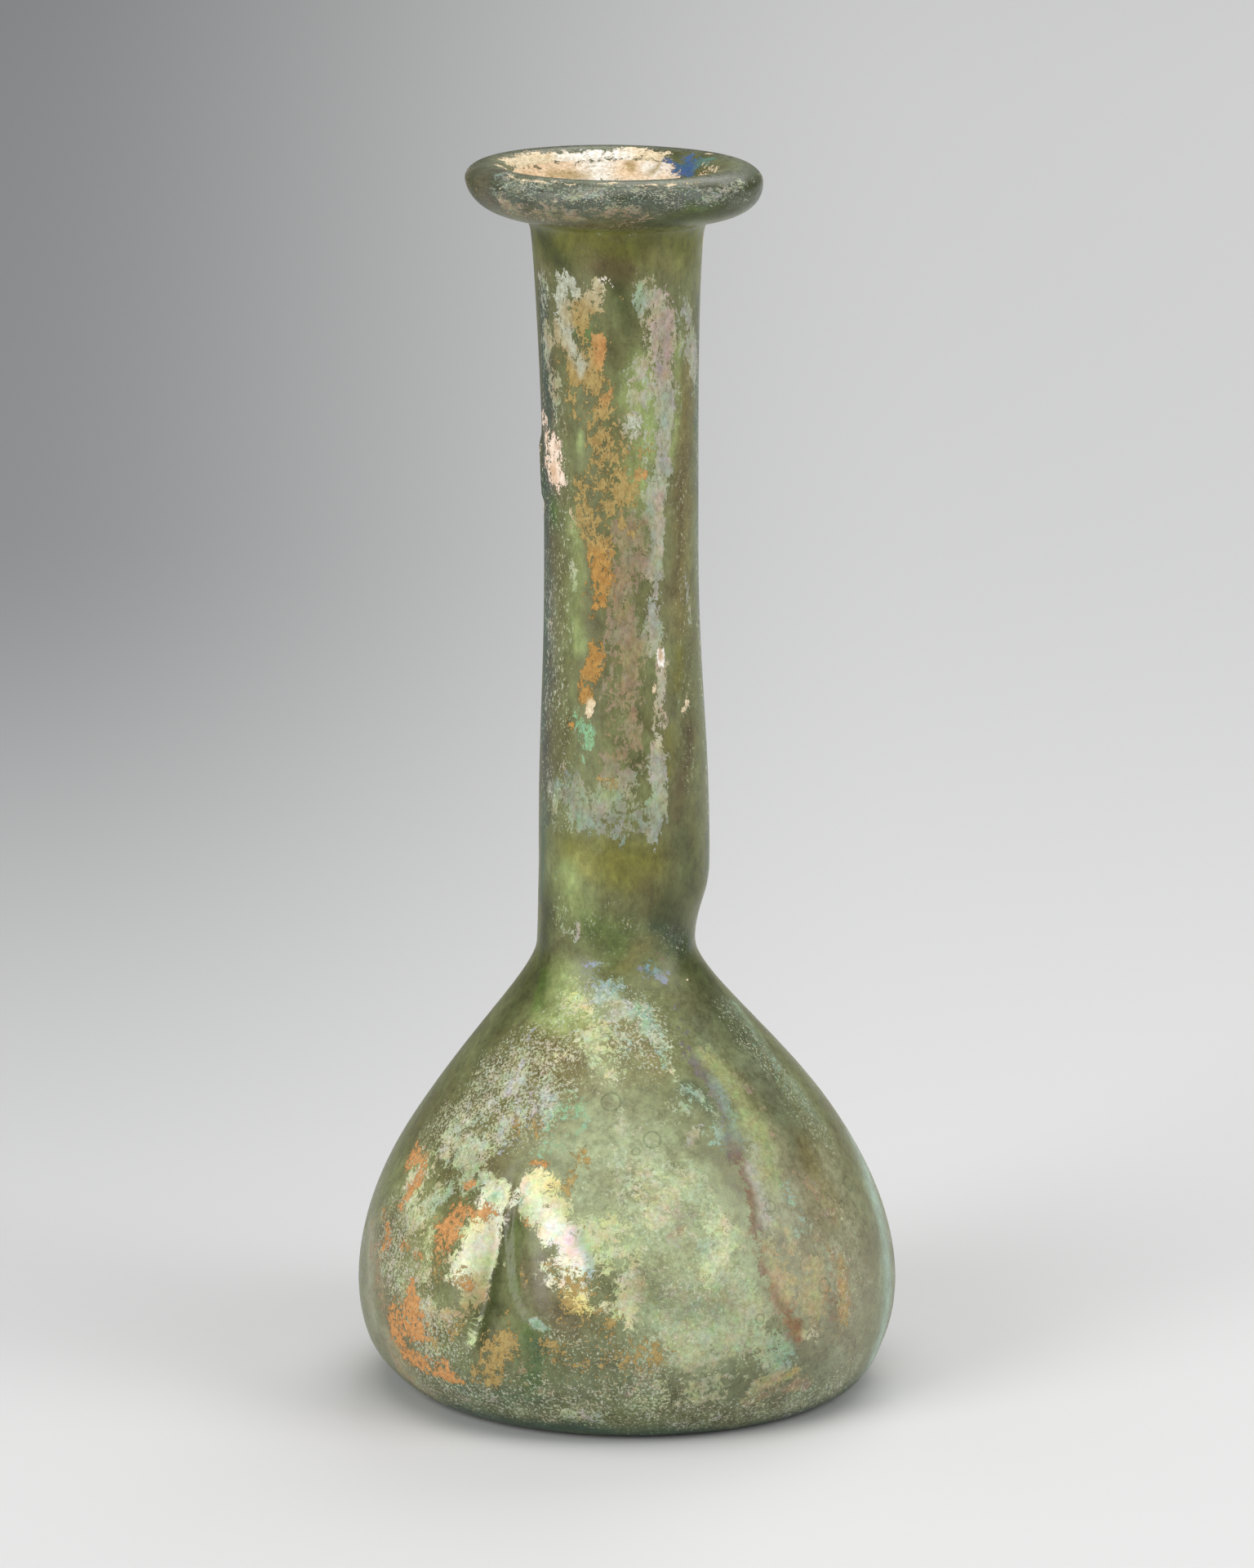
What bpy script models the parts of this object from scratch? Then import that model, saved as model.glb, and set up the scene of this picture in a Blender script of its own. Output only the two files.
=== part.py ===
"""A free-blown glass unguentarium: a small perfume bottle with a pear-shaped body and a tall neck.

The bottle is one hollow solid. Its wall is turned from a profile that starts in the middle of the
inner floor, climbs the inside, rolls over the folded rim and comes down the outside to the foot.
The turned wall is then bent out of true as the blown glass is: it leans, its waist is pinched on
one side, and one flank was pushed in while it was soft.

Metres, +Z up. The origin is under the middle of the belly, at the level the foot stands on.
The side seen in the usual view faces -Y.
"""

import math

import bmesh
import bpy

# Heights. The bottle is WAIST_HEIGHT + NECK_LENGTH + RIM_THICKNESS tall.
BELLY_HEIGHT = 0.0104
WAIST_HEIGHT = 0.0477
BULB_RISE = 0.0086
NARROW_RISE = 0.0428
NECK_LENGTH = 0.0767
RIM_THICKNESS = 0.0056
RIM_CROWN = 0.00185

# Outer radii, from the foot to the rim.
FOOT_RADIUS = 0.0226
BELLY_RADIUS = 0.02865
WAIST_RADIUS = 0.0083
BULB_RADIUS = 0.0090
NARROW_RADIUS = 0.00805
COLLAR_RADIUS = 0.0091
RIM_RADIUS = 0.0155
RIM_WIDTH = 0.0052
RIM_FILLET = 0.0007

# The glass itself.
FLOOR_THICKNESS = 0.0030
BODY_WALL = 0.0018
NECK_WALL = 0.0019
MOUTH_DEPTH = 0.0100

# The underside: a flat ring to stand on, and a shallow hollow inside it.
STAND_INNER_RADIUS = 0.0140
HOLLOW_RISE = 0.0008

# How full each curve is, as a share of its own height or width.
HEEL_UPRIGHT = 0.62
HEEL_FLAT = 0.36
BELLY_FULLNESS = 0.48
WAIST_FULLNESS = 0.147
NECK_FULLNESS = 0.45
COLLAR_FULLNESS = 0.06
COLLAR_TAPER = 0.5
UNDER_RIM_UPRIGHT = 0.60
UNDER_RIM_FLAT = 0.56
THROAT_UPRIGHT = 0.55
LIP_ACROSS = 0.15
LIP_DOWN = 0.18

# How far the middle of the glass strays to +X at each level, and how the rim tips up to -X.
HEEL_LEVEL = 0.0050
SHOULDER_LEVEL = 0.0280
FOOT_SHIFT = 0.00065
SHOULDER_SHIFT = -0.00015
WAIST_SHIFT = -0.00115
BULB_SHIFT = -0.0003
NARROW_SHIFT = -0.0006
COLLAR_SHIFT = -0.0010
RIM_SHIFT = -0.00145
RIM_TILT = 0.008
TILT_RISE = 0.0030

# The pinch on one side of the waist.
PINCH_DEPTH = 0.0006
PINCH_ANGLE = math.radians(22)
PINCH_WIDTH = 0.0032
PINCH_DROP = 0.0030

# The flank that was pushed in: a dent with a narrow top that widens downwards.
DENT_ANGLE = math.radians(-29)
DENT_SLANT = math.radians(-3)
DENT_TOP = 0.0275
DENT_BOTTOM = 0.0075
DENT_WIDTH_TOP = 0.0022
DENT_WIDTH_BOTTOM = 0.0046
DENT_DEPTH = 0.0013
DENT_TOP_EASE = 0.45
DENT_BOTTOM_EASE = 0.40

# Facets: steps round the bottle, and steps along each stretch of the profile.
TURN_STEPS = 72
CROWN_STEPS = 7
UNDER_RIM_STEPS = 4
MOUTH_STEPS = 4
COLLAR_STEPS = 4
NECK_STEPS = 3
BULB_STEPS = 3
BODY_STEPS = 12
HEEL_STEPS = 5
FLOOR_STEPS = 2
INNER_STEP_SHARE = 0.6

GLASS_COLOUR = (0.20, 0.27, 0.11, 1.0)
GLASS_ROUGHNESS = 0.32
GLASS_IOR = 1.5

# No push goes deeper than this share of the radius.
MOST_PUSHED = 0.5

COLLAR_HEIGHT = WAIST_HEIGHT + NECK_LENGTH
TOTAL_HEIGHT = COLLAR_HEIGHT + RIM_THICKNESS


def curve_between(start, start_handle, end_handle, end, steps):
    """Points along a cubic curve, without its first one."""
    points = []
    for step in range(1, steps + 1):
        t = step / steps
        near, far = 1 - t, t
        weights = (near**3, 3 * near**2 * far, 3 * near * far**2, far**3)
        corners = (start, start_handle, end_handle, end)
        points.append(tuple(sum(w * c[axis] for w, c in zip(weights, corners)) for axis in (0, 1)))
    return points


def upright_curve(top, bottom, top_share, bottom_share, steps):
    """A curve from top down to bottom that runs straight down at both ends."""
    drop = top[1] - bottom[1]
    top_handle = (top[0], top[1] - top_share * drop)
    bottom_handle = (bottom[0], bottom[1] + bottom_share * drop)
    return curve_between(top, top_handle, bottom_handle, bottom, steps)


def outer_side(step_share):
    """The outside of the neck and body as (radius, height), from the collar down to the belly.

    step_share is the share of the outside's own facets to draw it with.
    """

    def steps_of(count):
        return round(count * step_share)

    collar = (COLLAR_RADIUS, COLLAR_HEIGHT - RIM_FILLET)
    narrow = (NARROW_RADIUS, WAIST_HEIGHT + NARROW_RISE)
    bulb = (BULB_RADIUS, WAIST_HEIGHT + BULB_RISE)
    waist = (WAIST_RADIUS, WAIST_HEIGHT)
    belly = (BELLY_RADIUS, BELLY_HEIGHT)
    flare = collar[1] - narrow[1]
    collar_handle = (
        collar[0] - COLLAR_TAPER * (collar[0] - narrow[0]),
        collar[1] - COLLAR_FULLNESS * flare,
    )
    narrow_handle = (narrow[0], narrow[1] + NECK_FULLNESS * flare)
    return (
        [collar]
        + curve_between(collar, collar_handle, narrow_handle, narrow, steps_of(COLLAR_STEPS))
        + upright_curve(narrow, bulb, NECK_FULLNESS, NECK_FULLNESS, steps_of(NECK_STEPS))
        + upright_curve(bulb, waist, NECK_FULLNESS, NECK_FULLNESS, steps_of(BULB_STEPS))
        + upright_curve(waist, belly, WAIST_FULLNESS, BELLY_FULLNESS, steps_of(BODY_STEPS))
    )


def heel(belly, foot, steps):
    """The rounded turn from the belly in to the foot, as (radius, height)."""
    upright = (belly[0], belly[1] - HEEL_UPRIGHT * (belly[1] - foot[1]))
    flat = (foot[0] + HEEL_FLAT * (belly[0] - foot[0]), foot[1])
    return curve_between(belly, upright, flat, foot, steps)


def wall_at(height):
    """The thickness of the side wall, from the body's at the belly to the neck's at the waist."""
    share = (height - BELLY_HEIGHT) / (WAIST_HEIGHT - BELLY_HEIGHT)
    share = min(1.0, max(0.0, share))
    return BODY_WALL + share * (NECK_WALL - BODY_WALL)


def inner_side():
    """The inside of the neck and body, a wall's thickness in from the outside, collar to belly."""
    outside = outer_side(INNER_STEP_SHARE)
    inside = []
    for index, (radius, height) in enumerate(outside):
        above = outside[max(index - 1, 0)]
        below = outside[min(index + 1, len(outside) - 1)]
        run, drop = below[0] - above[0], above[1] - below[1]
        length = math.hypot(run, drop)
        wall = wall_at(height)
        inside.append((radius - wall * drop / length, height - wall * run / length))
    inside[-1] = (BELLY_RADIUS - BODY_WALL, BELLY_HEIGHT)
    return inside


def hollow_floor(edge_radius, edge_height):
    """A shallow dome from the edge in to the axis, as (radius, height)."""
    points = []
    for step in range(1, FLOOR_STEPS + 1):
        share = 1 - step / FLOOR_STEPS
        points.append((edge_radius * share, edge_height + HOLLOW_RISE * (1 - share**2)))
    return points


def rim_roll():
    """The rolled rim from its inner edge, over the crown and in along its underside."""
    middle = (RIM_RADIUS - RIM_WIDTH / 2, TOTAL_HEIGHT - RIM_CROWN)
    points = []
    for step in range(CROWN_STEPS + 1):
        angle = math.pi * (1 - step / CROWN_STEPS)
        radius = middle[0] + RIM_WIDTH / 2 * math.cos(angle)
        points.append((radius, middle[1] + RIM_CROWN * math.sin(angle)))
    widest = points[-1]
    under = (COLLAR_RADIUS + RIM_FILLET, COLLAR_HEIGHT)
    upright = (widest[0], widest[1] - UNDER_RIM_UPRIGHT * (widest[1] - under[1]))
    flat = (under[0] + UNDER_RIM_FLAT * (widest[0] - under[0]), under[1])
    return points + curve_between(widest, upright, flat, under, UNDER_RIM_STEPS)


def wall_profile():
    """The whole wall as (radius, height), from the inner floor's middle to the underside's."""
    inside = inner_side()
    inner_foot = (FOOT_RADIUS - BODY_WALL, FLOOR_THICKNESS)
    inside += heel(inside[-1], inner_foot, round(HEEL_STEPS * INNER_STEP_SHARE))
    inside += hollow_floor(*inner_foot)
    rim = rim_roll()
    throat_height = TOTAL_HEIGHT - MOUTH_DEPTH
    below_throat = [point for point in inside if point[1] < throat_height - NECK_WALL]
    throat = (below_throat[0][0], throat_height)
    lip = rim[0]
    funnel = curve_between(
        throat,
        (throat[0], throat[1] + THROAT_UPRIGHT * (lip[1] - throat[1])),
        (lip[0] - LIP_ACROSS * (lip[0] - throat[0]), lip[1] - LIP_DOWN * (lip[1] - throat[1])),
        lip,
        MOUTH_STEPS,
    )
    outside = outer_side(1)
    outside += heel(outside[-1], (FOOT_RADIUS, 0.0), HEEL_STEPS)
    stand = [(STAND_INNER_RADIUS, 0.0)]
    stand += hollow_floor(STAND_INNER_RADIUS, 0.0)
    return below_throat[::-1] + [throat] + funnel[:-1] + rim + outside + stand


def ease(share):
    """Eases from 0 to 1 as share does."""
    share = min(1.0, max(0.0, share))
    return share * share * (3 - 2 * share)


def shift_at(height):
    """How far the middle of the glass strays to +X at this height."""
    levels = (
        (0.0, FOOT_SHIFT),
        (HEEL_LEVEL, 0.0),
        (BELLY_HEIGHT, 0.0),
        (SHOULDER_LEVEL, SHOULDER_SHIFT),
        (WAIST_HEIGHT, WAIST_SHIFT),
        (WAIST_HEIGHT + BULB_RISE, BULB_SHIFT),
        (WAIST_HEIGHT + NARROW_RISE, NARROW_SHIFT),
        (COLLAR_HEIGHT, COLLAR_SHIFT),
        (TOTAL_HEIGHT, RIM_SHIFT),
    )
    shift = FOOT_SHIFT
    for (low, low_shift), (high, high_shift) in zip(levels, levels[1:]):
        if height > low:
            shift = low_shift + (high_shift - low_shift) * ease((height - low) / (high - low))
    return shift


def dent_at(angle, height, radius):
    """How far the flank is pushed in at this place."""
    if not DENT_BOTTOM < height < DENT_TOP:
        return 0.0
    down = (DENT_TOP - height) / (DENT_TOP - DENT_BOTTOM)
    middle = DENT_ANGLE + DENT_SLANT * down
    width = DENT_WIDTH_TOP + (DENT_WIDTH_BOTTOM - DENT_WIDTH_TOP) * down
    across = (angle - middle) * radius / width
    along = ease(down / DENT_TOP_EASE) * ease((1 - down) / DENT_BOTTOM_EASE)
    return DENT_DEPTH * along * math.exp(-across * across)


def pinch_at(angle, height, radius):
    """How far the waist is pinched in at this place, on the side of PINCH_ANGLE."""
    across = (angle - PINCH_ANGLE) * radius / PINCH_WIDTH
    along = (height - WAIST_HEIGHT + PINCH_DROP) / PINCH_WIDTH
    return PINCH_DEPTH * math.exp(-across * across - along * along)


def blown_place(point):
    """Where a point of the true turned wall ends up on the hand-blown bottle."""
    radius = math.hypot(point.x, point.y)
    height = point.z
    scale = 1.0
    if radius > 0:
        angle = math.atan2(point.x, -point.y)
        pushed = dent_at(angle, height, radius) + pinch_at(angle, height, radius)
        scale = (radius - min(pushed, MOST_PUSHED * radius)) / radius
    tipped = RIM_TILT * ease((height - COLLAR_HEIGHT + TILT_RISE) / TILT_RISE)
    return (point.x * scale + shift_at(height), point.y * scale, height - tipped * point.x)


def glass_material():
    """Weathered green glass."""
    material = bpy.data.materials.new("weathered_green_glass")
    material.use_nodes = True
    shader = material.node_tree.nodes["Principled BSDF"]
    shader.inputs["Base Color"].default_value = GLASS_COLOUR
    shader.inputs["Roughness"].default_value = GLASS_ROUGHNESS
    shader.inputs["Metallic"].default_value = 0.0
    shader.inputs["IOR"].default_value = GLASS_IOR
    material.diffuse_color = GLASS_COLOUR
    return material


def turned_wall(collection):
    """The wall's profile, turned round the axis by a Screw modifier."""
    profile = wall_profile()
    mesh = bpy.data.meshes.new("wall_profile")
    edges = [(index, index + 1) for index in range(len(profile) - 1)]
    mesh.from_pydata([(radius, 0.0, height) for radius, height in profile], edges, [])
    turned = bpy.data.objects.new("wall_profile", mesh)
    collection.objects.link(turned)
    screw = turned.modifiers.new("turn", "SCREW")
    screw.axis = "Z"
    screw.angle = math.tau
    screw.steps = TURN_STEPS
    screw.render_steps = TURN_STEPS
    screw.use_merge_vertices = True
    screw.merge_threshold = 0.00001
    return turned


def glass_bottle(collection):
    """The bottle: the turned wall as a mesh, bent out of true."""
    turned = turned_wall(collection)
    bpy.context.view_layer.update()
    graph = bpy.context.evaluated_depsgraph_get()
    mesh = bpy.data.meshes.new_from_object(turned.evaluated_get(graph))
    mesh.name = "glass_bottle"
    bpy.data.objects.remove(turned)
    shape = bmesh.new()
    shape.from_mesh(mesh)
    bmesh.ops.remove_doubles(shape, verts=shape.verts, dist=0.000005)
    for vertex in shape.verts:
        vertex.co = blown_place(vertex.co)
    shape.to_mesh(mesh)
    shape.free()
    mesh.shade_smooth()
    mesh.set_sharp_from_angle(angle=math.radians(50))
    mesh.materials.append(glass_material())
    bottle = bpy.data.objects.new("glass_bottle", mesh)
    collection.objects.link(bottle)
    return bottle


def main():
    for old in list(bpy.data.objects):
        bpy.data.objects.remove(old)
    collection = bpy.data.collections.new("unguentarium")
    bpy.context.scene.collection.children.link(collection)
    glass_bottle(collection)


main()
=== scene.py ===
"""The looks of a glass unguentarium: a small free-blown perfume bottle of green glass.

The glass has lain in the ground for a long time. Its skin has flaked into a matte film, into
pearly and iridescent layers, and it carries crusts of rust-coloured earth and of lime.

Metres, +Z up. Angles go round the bottle from the side that faces -Y, and + is towards +X.
"""

import math

import bpy
import numpy as np
from bpy.props import FloatProperty, FloatVectorProperty, PointerProperty
from bpy.types import Operator, Panel, PropertyGroup
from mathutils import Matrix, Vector, noise


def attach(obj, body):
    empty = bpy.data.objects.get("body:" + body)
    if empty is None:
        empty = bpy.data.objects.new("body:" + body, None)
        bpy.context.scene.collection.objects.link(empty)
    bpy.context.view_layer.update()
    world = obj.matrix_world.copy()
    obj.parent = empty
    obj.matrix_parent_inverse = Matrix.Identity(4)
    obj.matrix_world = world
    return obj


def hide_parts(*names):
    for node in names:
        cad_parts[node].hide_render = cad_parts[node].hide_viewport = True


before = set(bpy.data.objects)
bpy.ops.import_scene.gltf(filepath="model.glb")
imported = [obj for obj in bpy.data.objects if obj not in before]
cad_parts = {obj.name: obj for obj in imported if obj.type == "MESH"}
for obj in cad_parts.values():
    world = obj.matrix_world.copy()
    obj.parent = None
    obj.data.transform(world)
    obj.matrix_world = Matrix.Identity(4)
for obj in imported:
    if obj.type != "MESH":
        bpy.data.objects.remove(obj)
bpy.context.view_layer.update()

bl_info = {
    "name": "Glass Unguentarium",
    "version": (1, 0, 0),
    "blender": (4, 5, 0),
    "location": "3D View > Sidebar > Unguentarium",
    "description": "Blows a small weathered perfume bottle and sets it under soft studio light",
    "category": "Object",
}

MM = 0.001

# Sides of the bottle's mesh, and rings along each stretch of its wall, before it is smoothed.
SIDES = 72
RINGS = {
    "floor": 2,
    "inner heel": 2,
    "inner body": 4,
    "inner bulb": 1,
    "inner neck": 2,
    "inner collar": 1,
    "funnel": 3,
    "crown": 8,
    "under rim": 4,
    "collar": 11,
    "neck": 11,
    "bulb": 5,
    "body": 20,
    "heel": 6,
    "hollow": 3,
}
# The wall is drawn out to a small ring of this radius, which is then merged to a point.
POLE_RADIUS = 0.6 * MM
SMOOTHING = 2

# How full each curve of the wall is, as a share of its own height or width.
HEEL_UPRIGHT = 0.62
HEEL_FLAT = 0.36
BELLY_FULLNESS = 0.48
WAIST_FULLNESS = 0.147
NECK_FULLNESS = 0.45
COLLAR_FULLNESS = 0.06
COLLAR_TAPER = 0.5
UNDER_RIM_UPRIGHT = 0.60
UNDER_RIM_FLAT = 0.56
THROAT_UPRIGHT = 0.55
LIP_ACROSS = 0.15
LIP_DOWN = 0.18

# How far the middle of the glass strays to +X at each level, and how the rim tips up to -X.
HEEL_LEVEL = 5.0 * MM
SHOULDER_LEVEL = 28.0 * MM
FOOT_SHIFT = 0.65 * MM
SHOULDER_SHIFT = -0.15 * MM
WAIST_SHIFT = -1.15 * MM
BULB_SHIFT = -0.3 * MM
NARROW_SHIFT = -0.6 * MM
COLLAR_SHIFT = -1.0 * MM
RIM_SHIFT = -1.45 * MM
RIM_TILT = 0.008
TILT_RISE = 3.0 * MM

# The dent in the left flank, and the pinch in the right of the waist. No push goes deeper than
# MOST_PUSHED of the radius.
DENT_ANGLE = math.radians(-29)
DENT_SLANT = math.radians(-3)
DENT_TOP = 27.5 * MM
DENT_BOTTOM = 7.5 * MM
DENT_WIDTH_TOP = 2.2 * MM
DENT_WIDTH_BOTTOM = 4.6 * MM
DENT_TOP_EASE = 0.45
DENT_BOTTOM_EASE = 0.40
PINCH_ANGLE = math.radians(22)
PINCH_WIDTH = 3.2 * MM
PINCH_DROP = 3.0 * MM
MOST_PUSHED = 0.5

# Brush strokes in five layers, each laid over the one before, and those of the mouth, which are
# laid last and only on the inner wall. Each says what it is, its colour, half its width in
# millimetres, how much of the glass it covers, and its places as degrees and millimetres up,
# then the radius in millimetres where the height alone doesn't give the place.
GROUND = (
    ("right flank of the body", "glass_taupe", 8, 0.85, ((53, 23.5), (54, 18), (53, 13.5), (49, 8.5))),
    ("shoulder, brown side", "glass_bronze", 5, 0.6, ((-30, 37.5), (-18, 35), (-36, 31))),
    ("dull left flank", "glass_smoke", 4.5, 0.6, ((-68, 17.5), (-59, 11.5), (-54, 7))),
    ("olive edge of the left flank", "glass_olive", 2, 0.6, ((-94, 30), (-80, 24), (-76, 18))),
    ("pale middle of the body", "glass_pale", 8, 0.95, ((1, 27), (12, 23.5), (16, 17))),
    ("dull foot", "glass_dull", 4, 0.7, ((-40, 4.5), (-15, 7.5), (2, 7), (24, 6), (46, 5))),
    # Painted shade along the foot's edge where it meets the floor.
    ("dark foot edge", "glass_teal_and_edge_shade", 1.9, 0.9,
     ((-55, 1), (-37, 1), (-15, 1), (5, 0.5), (26, 0), (47, 0.5), (65, 1))),
    ("brown upper left", "glass_smoke", 3.2, 0.35, ((-70, 28.5), (-50, 29), (-39, 28.5))),
    ("olive upper left", "glass_olive", 2, 0.6, ((-78, 32.5), (-76, 29.5))),
    ("clear band under the rim", "glass_clear", 2.2, 0.9,
     ((-56, 122), (-20, 122.5), (13, 122.5), (62, 122))),
    # Painted glow of light through the clear band under the rim.
    ("glow under the rim", "glass_amber", 1.5, 0.5, ((-32, 122.5), (-6, 123))),
    ("brown smudge under the rim", "glass_brown", 1.7, 0.85, ((-16, 120.5), (5, 120))),
    ("dark left of the band", "glass_dark_stain_and_shade", 1.7, 0.8, ((-59, 123), (-53, 121.5), (-45, 120.5))),
    ("green right of the band", "glass_olive", 1.6, 0.6, ((28, 121), (54, 119))),
    ("stain under the flakes", "glass_dark_stain_and_shade", 1.2, 0.8, ((-5, 118.5), (2, 116.5), (4, 114.5))),
    ("small dark stain", "glass_dark_stain_and_shade", 0.6, 0.8, ((-9, 112.2),)),
    ("left of the neck", "glass_smoke", 2, 0.95,
     ((-66, 118.5), (-68, 106.5), (-69, 93), (-67, 79), (-67, 67))),
    # Painted shade down the neck's left edge.
    ("left edge of the neck", "glass_teal_and_edge_shade", 1.2, 0.8,
     ((-65, 117), (-68, 106.5), (-75, 94.5), (-75, 80.5), (-76, 70))),
    ("green patch by the crust", "glass_green", 0.9, 0.9, ((-63, 95.3), (-59, 93))),
    ("middle of the neck", "glass_olive", 2.4, 0.6, ((7, 112.5), (6, 100.5), (0, 88.5), (-7, 75))),
    ("green left of the middle", "glass_green", 1.1, 0.6, ((-29, 114.5), (-24, 113))),
    ("green glimpse under the crust", "glass_bright_painted_glow", 0.5, 0.8, ((-31, 102.4), (-31, 101.3))),
    ("green glimpse, upper", "glass_green", 0.6, 0.8, ((-32, 114.4), (-26, 113.3))),
    ("pale green by the crust", "glass_bright_painted_glow", 1, 0.7, ((-40, 93.5), (-34, 89), (-32, 80.5))),
    ("yellow-green by the film", "glass_bright_painted_glow", 0.9, 0.8, ((48, 111.3), (47, 103.5), (40, 100.2))),
    ("brown side of the neck", "glass_bronze", 1.6, 0.9, ((63, 111), (54, 100), (52, 90), (47, 82))),
    ("brown streak of the neck", "glass_brown", 0.9, 0.45, ((54, 100), (50, 91.4), (39, 84.8))),
    ("yellow-green lower side", "glass_amber", 1, 0.8, ((46, 79), (43, 75.5))),
    ("yellow-green by the film's foot", "glass_amber", 0.8, 0.7, ((34, 71.2), (33, 66.8))),
    ("brown lower side", "glass_brown", 1.1, 0.8, ((53, 71), (45, 65.5), (37, 62.5))),
    ("green right edge", "glass_green", 0.9, 0.5, ((82, 76.8), (85, 69.7), (86, 62.7), (83, 55.8))),
    # Painted shade down the neck's right edge.
    ("teal right edge", "glass_teal_and_edge_shade", 0.6, 0.6,
     ((76, 116.7), (84, 99.3), (87, 78.4), (81, 64.7), (76, 55.2))),
    ("olive stain", "glass_dark_stain_and_shade", 0.9, 0.5, ((13, 69.3), (10, 67.6))),
    ("amber ring", "glass_amber", 2.2, 0.8, ((-38, 58.5), (-8, 58.5), (20, 58))),
    ("yellow amber", "glass_yellow", 1, 0.8, ((-29, 58), (-21, 57))),
    ("yellow-green ring", "glass_bright_painted_glow", 1.9, 0.7, ((-40, 55.5), (-33, 53))),
    ("amber, middle of the ring", "glass_amber", 1.6, 0.6, ((-8, 56.5), (6, 55.5))),
    ("brown of the ring", "glass_brown", 1.4, 0.45, ((14, 55.5), (22, 53))),
    ("olive right of the ring", "glass_dark_stain_and_shade", 1.8, 0.5, ((44, 59.5), (54, 54.5))),
    ("teal left of the ring", "glass_teal_and_edge_shade", 0.9, 0.7, ((-72, 63.3), (-72, 56.2), (-70, 51.8))),
    ("green waist, left", "glass_dark_stain_and_shade", 1.6, 0.75, ((-59, 50.5), (-63, 47.5))),
    ("green waist", "glass_green", 2, 0.55, ((-22, 50.5), (2, 49.5))),
    ("teal waist, right", "glass_teal_and_edge_shade", 1.7, 0.9, ((34, 50.5), (59, 48))),
    ("brown waist", "glass_bronze", 1.2, 0.5, ((9, 47), (27, 49.5))),
    # Painted glow of light shining through the shoulder.
    ("bright shoulder", "glass_bright_painted_glow", 2.3, 0.58, ((-37, 44.5), (-25, 42.5), (-15, 42))),
    ("pale shoulder", "glass_pale", 1.8, 0.6, ((-12, 43.5), (-3, 42.5))),
    ("foot of the bright shoulder", "glass_bright_painted_glow", 1.3, 0.75, ((-44, 41), (-24, 41), (-13, 41))),
    # Painted shade where the left shoulder turns away at the edge.
    ("dark left shoulder", "glass_dark_stain_and_shade", 2, 0.65, ((-73, 43.5), (-66, 40), (-66, 37))),
    ("green streak of the shoulder", "glass_green", 0.9, 0.8, ((-58, 45.2), (-50, 42.2))),
    ("green left shoulder", "glass_olive", 1.5, 0.55, ((-54, 39.5), (-64, 37.5))),
    ("speckled brown of the shoulder", "glass_bronze", 2.6, 0.55,
     ((-38, 38.5), (-26, 39.5), (-20, 36.5))),
    ("brown left shoulder", "glass_smoke", 2.4, 0.45, ((-56, 36), (-55, 32.5))),
    ("pale tongue", "glass_yellow", 1.6, 0.5, ((-14, 40.5), (-8, 38.5), (-2, 36.5))),
    ("pale tongue, light", "glass_pale", 1.3, 0.6, ((-12, 39.5), (-4, 36))),
    ("amber of the shoulder", "glass_bronze", 1.8, 0.7, ((4, 41), (11, 39), (12, 37.5))),
    # Painted shade where the right shoulder turns away at the edge.
    ("dark right shoulder", "glass_dark_stain_and_shade", 1.5, 0.75, ((73, 44.5), (75, 42.5))),
    ("olive right shoulder", "glass_dull", 2.6, 0.9, ((68, 41), (58, 35.5), (56, 29.5))),
    ("olive right shoulder, low", "glass_bronze", 2.4, 0.7, ((55, 28), (55, 22.5))),
    # Painted reflection: the pale light caught along the body's right edge.
    ("teal right edge of the body", "glass_mist_and_edge_reflection", 2, 0.9,
     ((90, 25), (82, 20), (76, 14.5), (74, 8), (74, 2.5))),
    ("mist on the right shoulder", "glass_mist_and_edge_reflection", 1.2, 0.3, ((80, 40.5), (72, 35.5), (70, 30))),
    ("smooth yellow band", "glass_straw", 1.6, 0.9,
     ((36, 38), (39, 36.5), (41, 35), (41, 32), (42, 29), (40, 26))),
    ("dark edge of the band", "glass_dull", 0.8, 0.6, ((50, 36.9), (53, 33.2), (52, 28.9), (48, 26.1))),
    ("dark beside the streak", "glass_teal_and_edge_shade", 1, 0.5, ((24, 35.5), (28, 33.5))),
    ("smooth dark lobe", "glass_dull", 1.9, 0.9, ((16, 10.5), (20, 9))),
    ("dull patches of the middle", "glass_dull", 1.8, 0.55, ((-4, 17.5), (-2, 15.5))),
    ("dull under the middle", "glass_dull", 2.6, 0.7, ((2, 14), (6, 9.5), (-5, 10.5))),
    # Painted shade: the dent's facet that turns away from the light, its groove and the groove's foot
    # are painted dark.
    ("dark facet of the dent", "glass_dark_stain_and_shade", 1.2, 1, ((-31, 23), (-31, 20), (-31, 17), (-30, 14.5))),
    ("groove of the dent", "glass_dark_stain_and_shade", 0.8, 0.95,
     ((-33, 21.2), (-32, 17.7), (-32, 14.9), (-32, 12.8))),
    ("foot of the groove", "glass_dark_stain_and_shade", 1.2, 0.95, ((-33, 12.5), (-32, 10.5))),
    ("green by the ridge", "glass_green", 0.6, 0.7, ((-27, 22.8), (-26, 19), (-24, 15.7))),
    ("brown right of the dent", "glass_smoke", 2.2, 0.85, ((-19, 18.5), (-17, 15.5), (-13, 13.5))),
    ("green under the dent", "glass_green", 1.3, 0.7, ((-22, 12), (-20, 9.5), (-20, 7))),
    ("teal under the dent", "glass_teal_and_edge_shade", 1, 0.6, ((-19, 11), (-20, 7.5))),
    ("brown above the dent", "glass_smoke", 1.3, 0.7, ((-30, 25.5), (-30, 23.5))),
    ("brown between the pearl", "glass_smoke", 0.9, 0.7, ((-34, 19.9), (-33, 18.5))),
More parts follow.
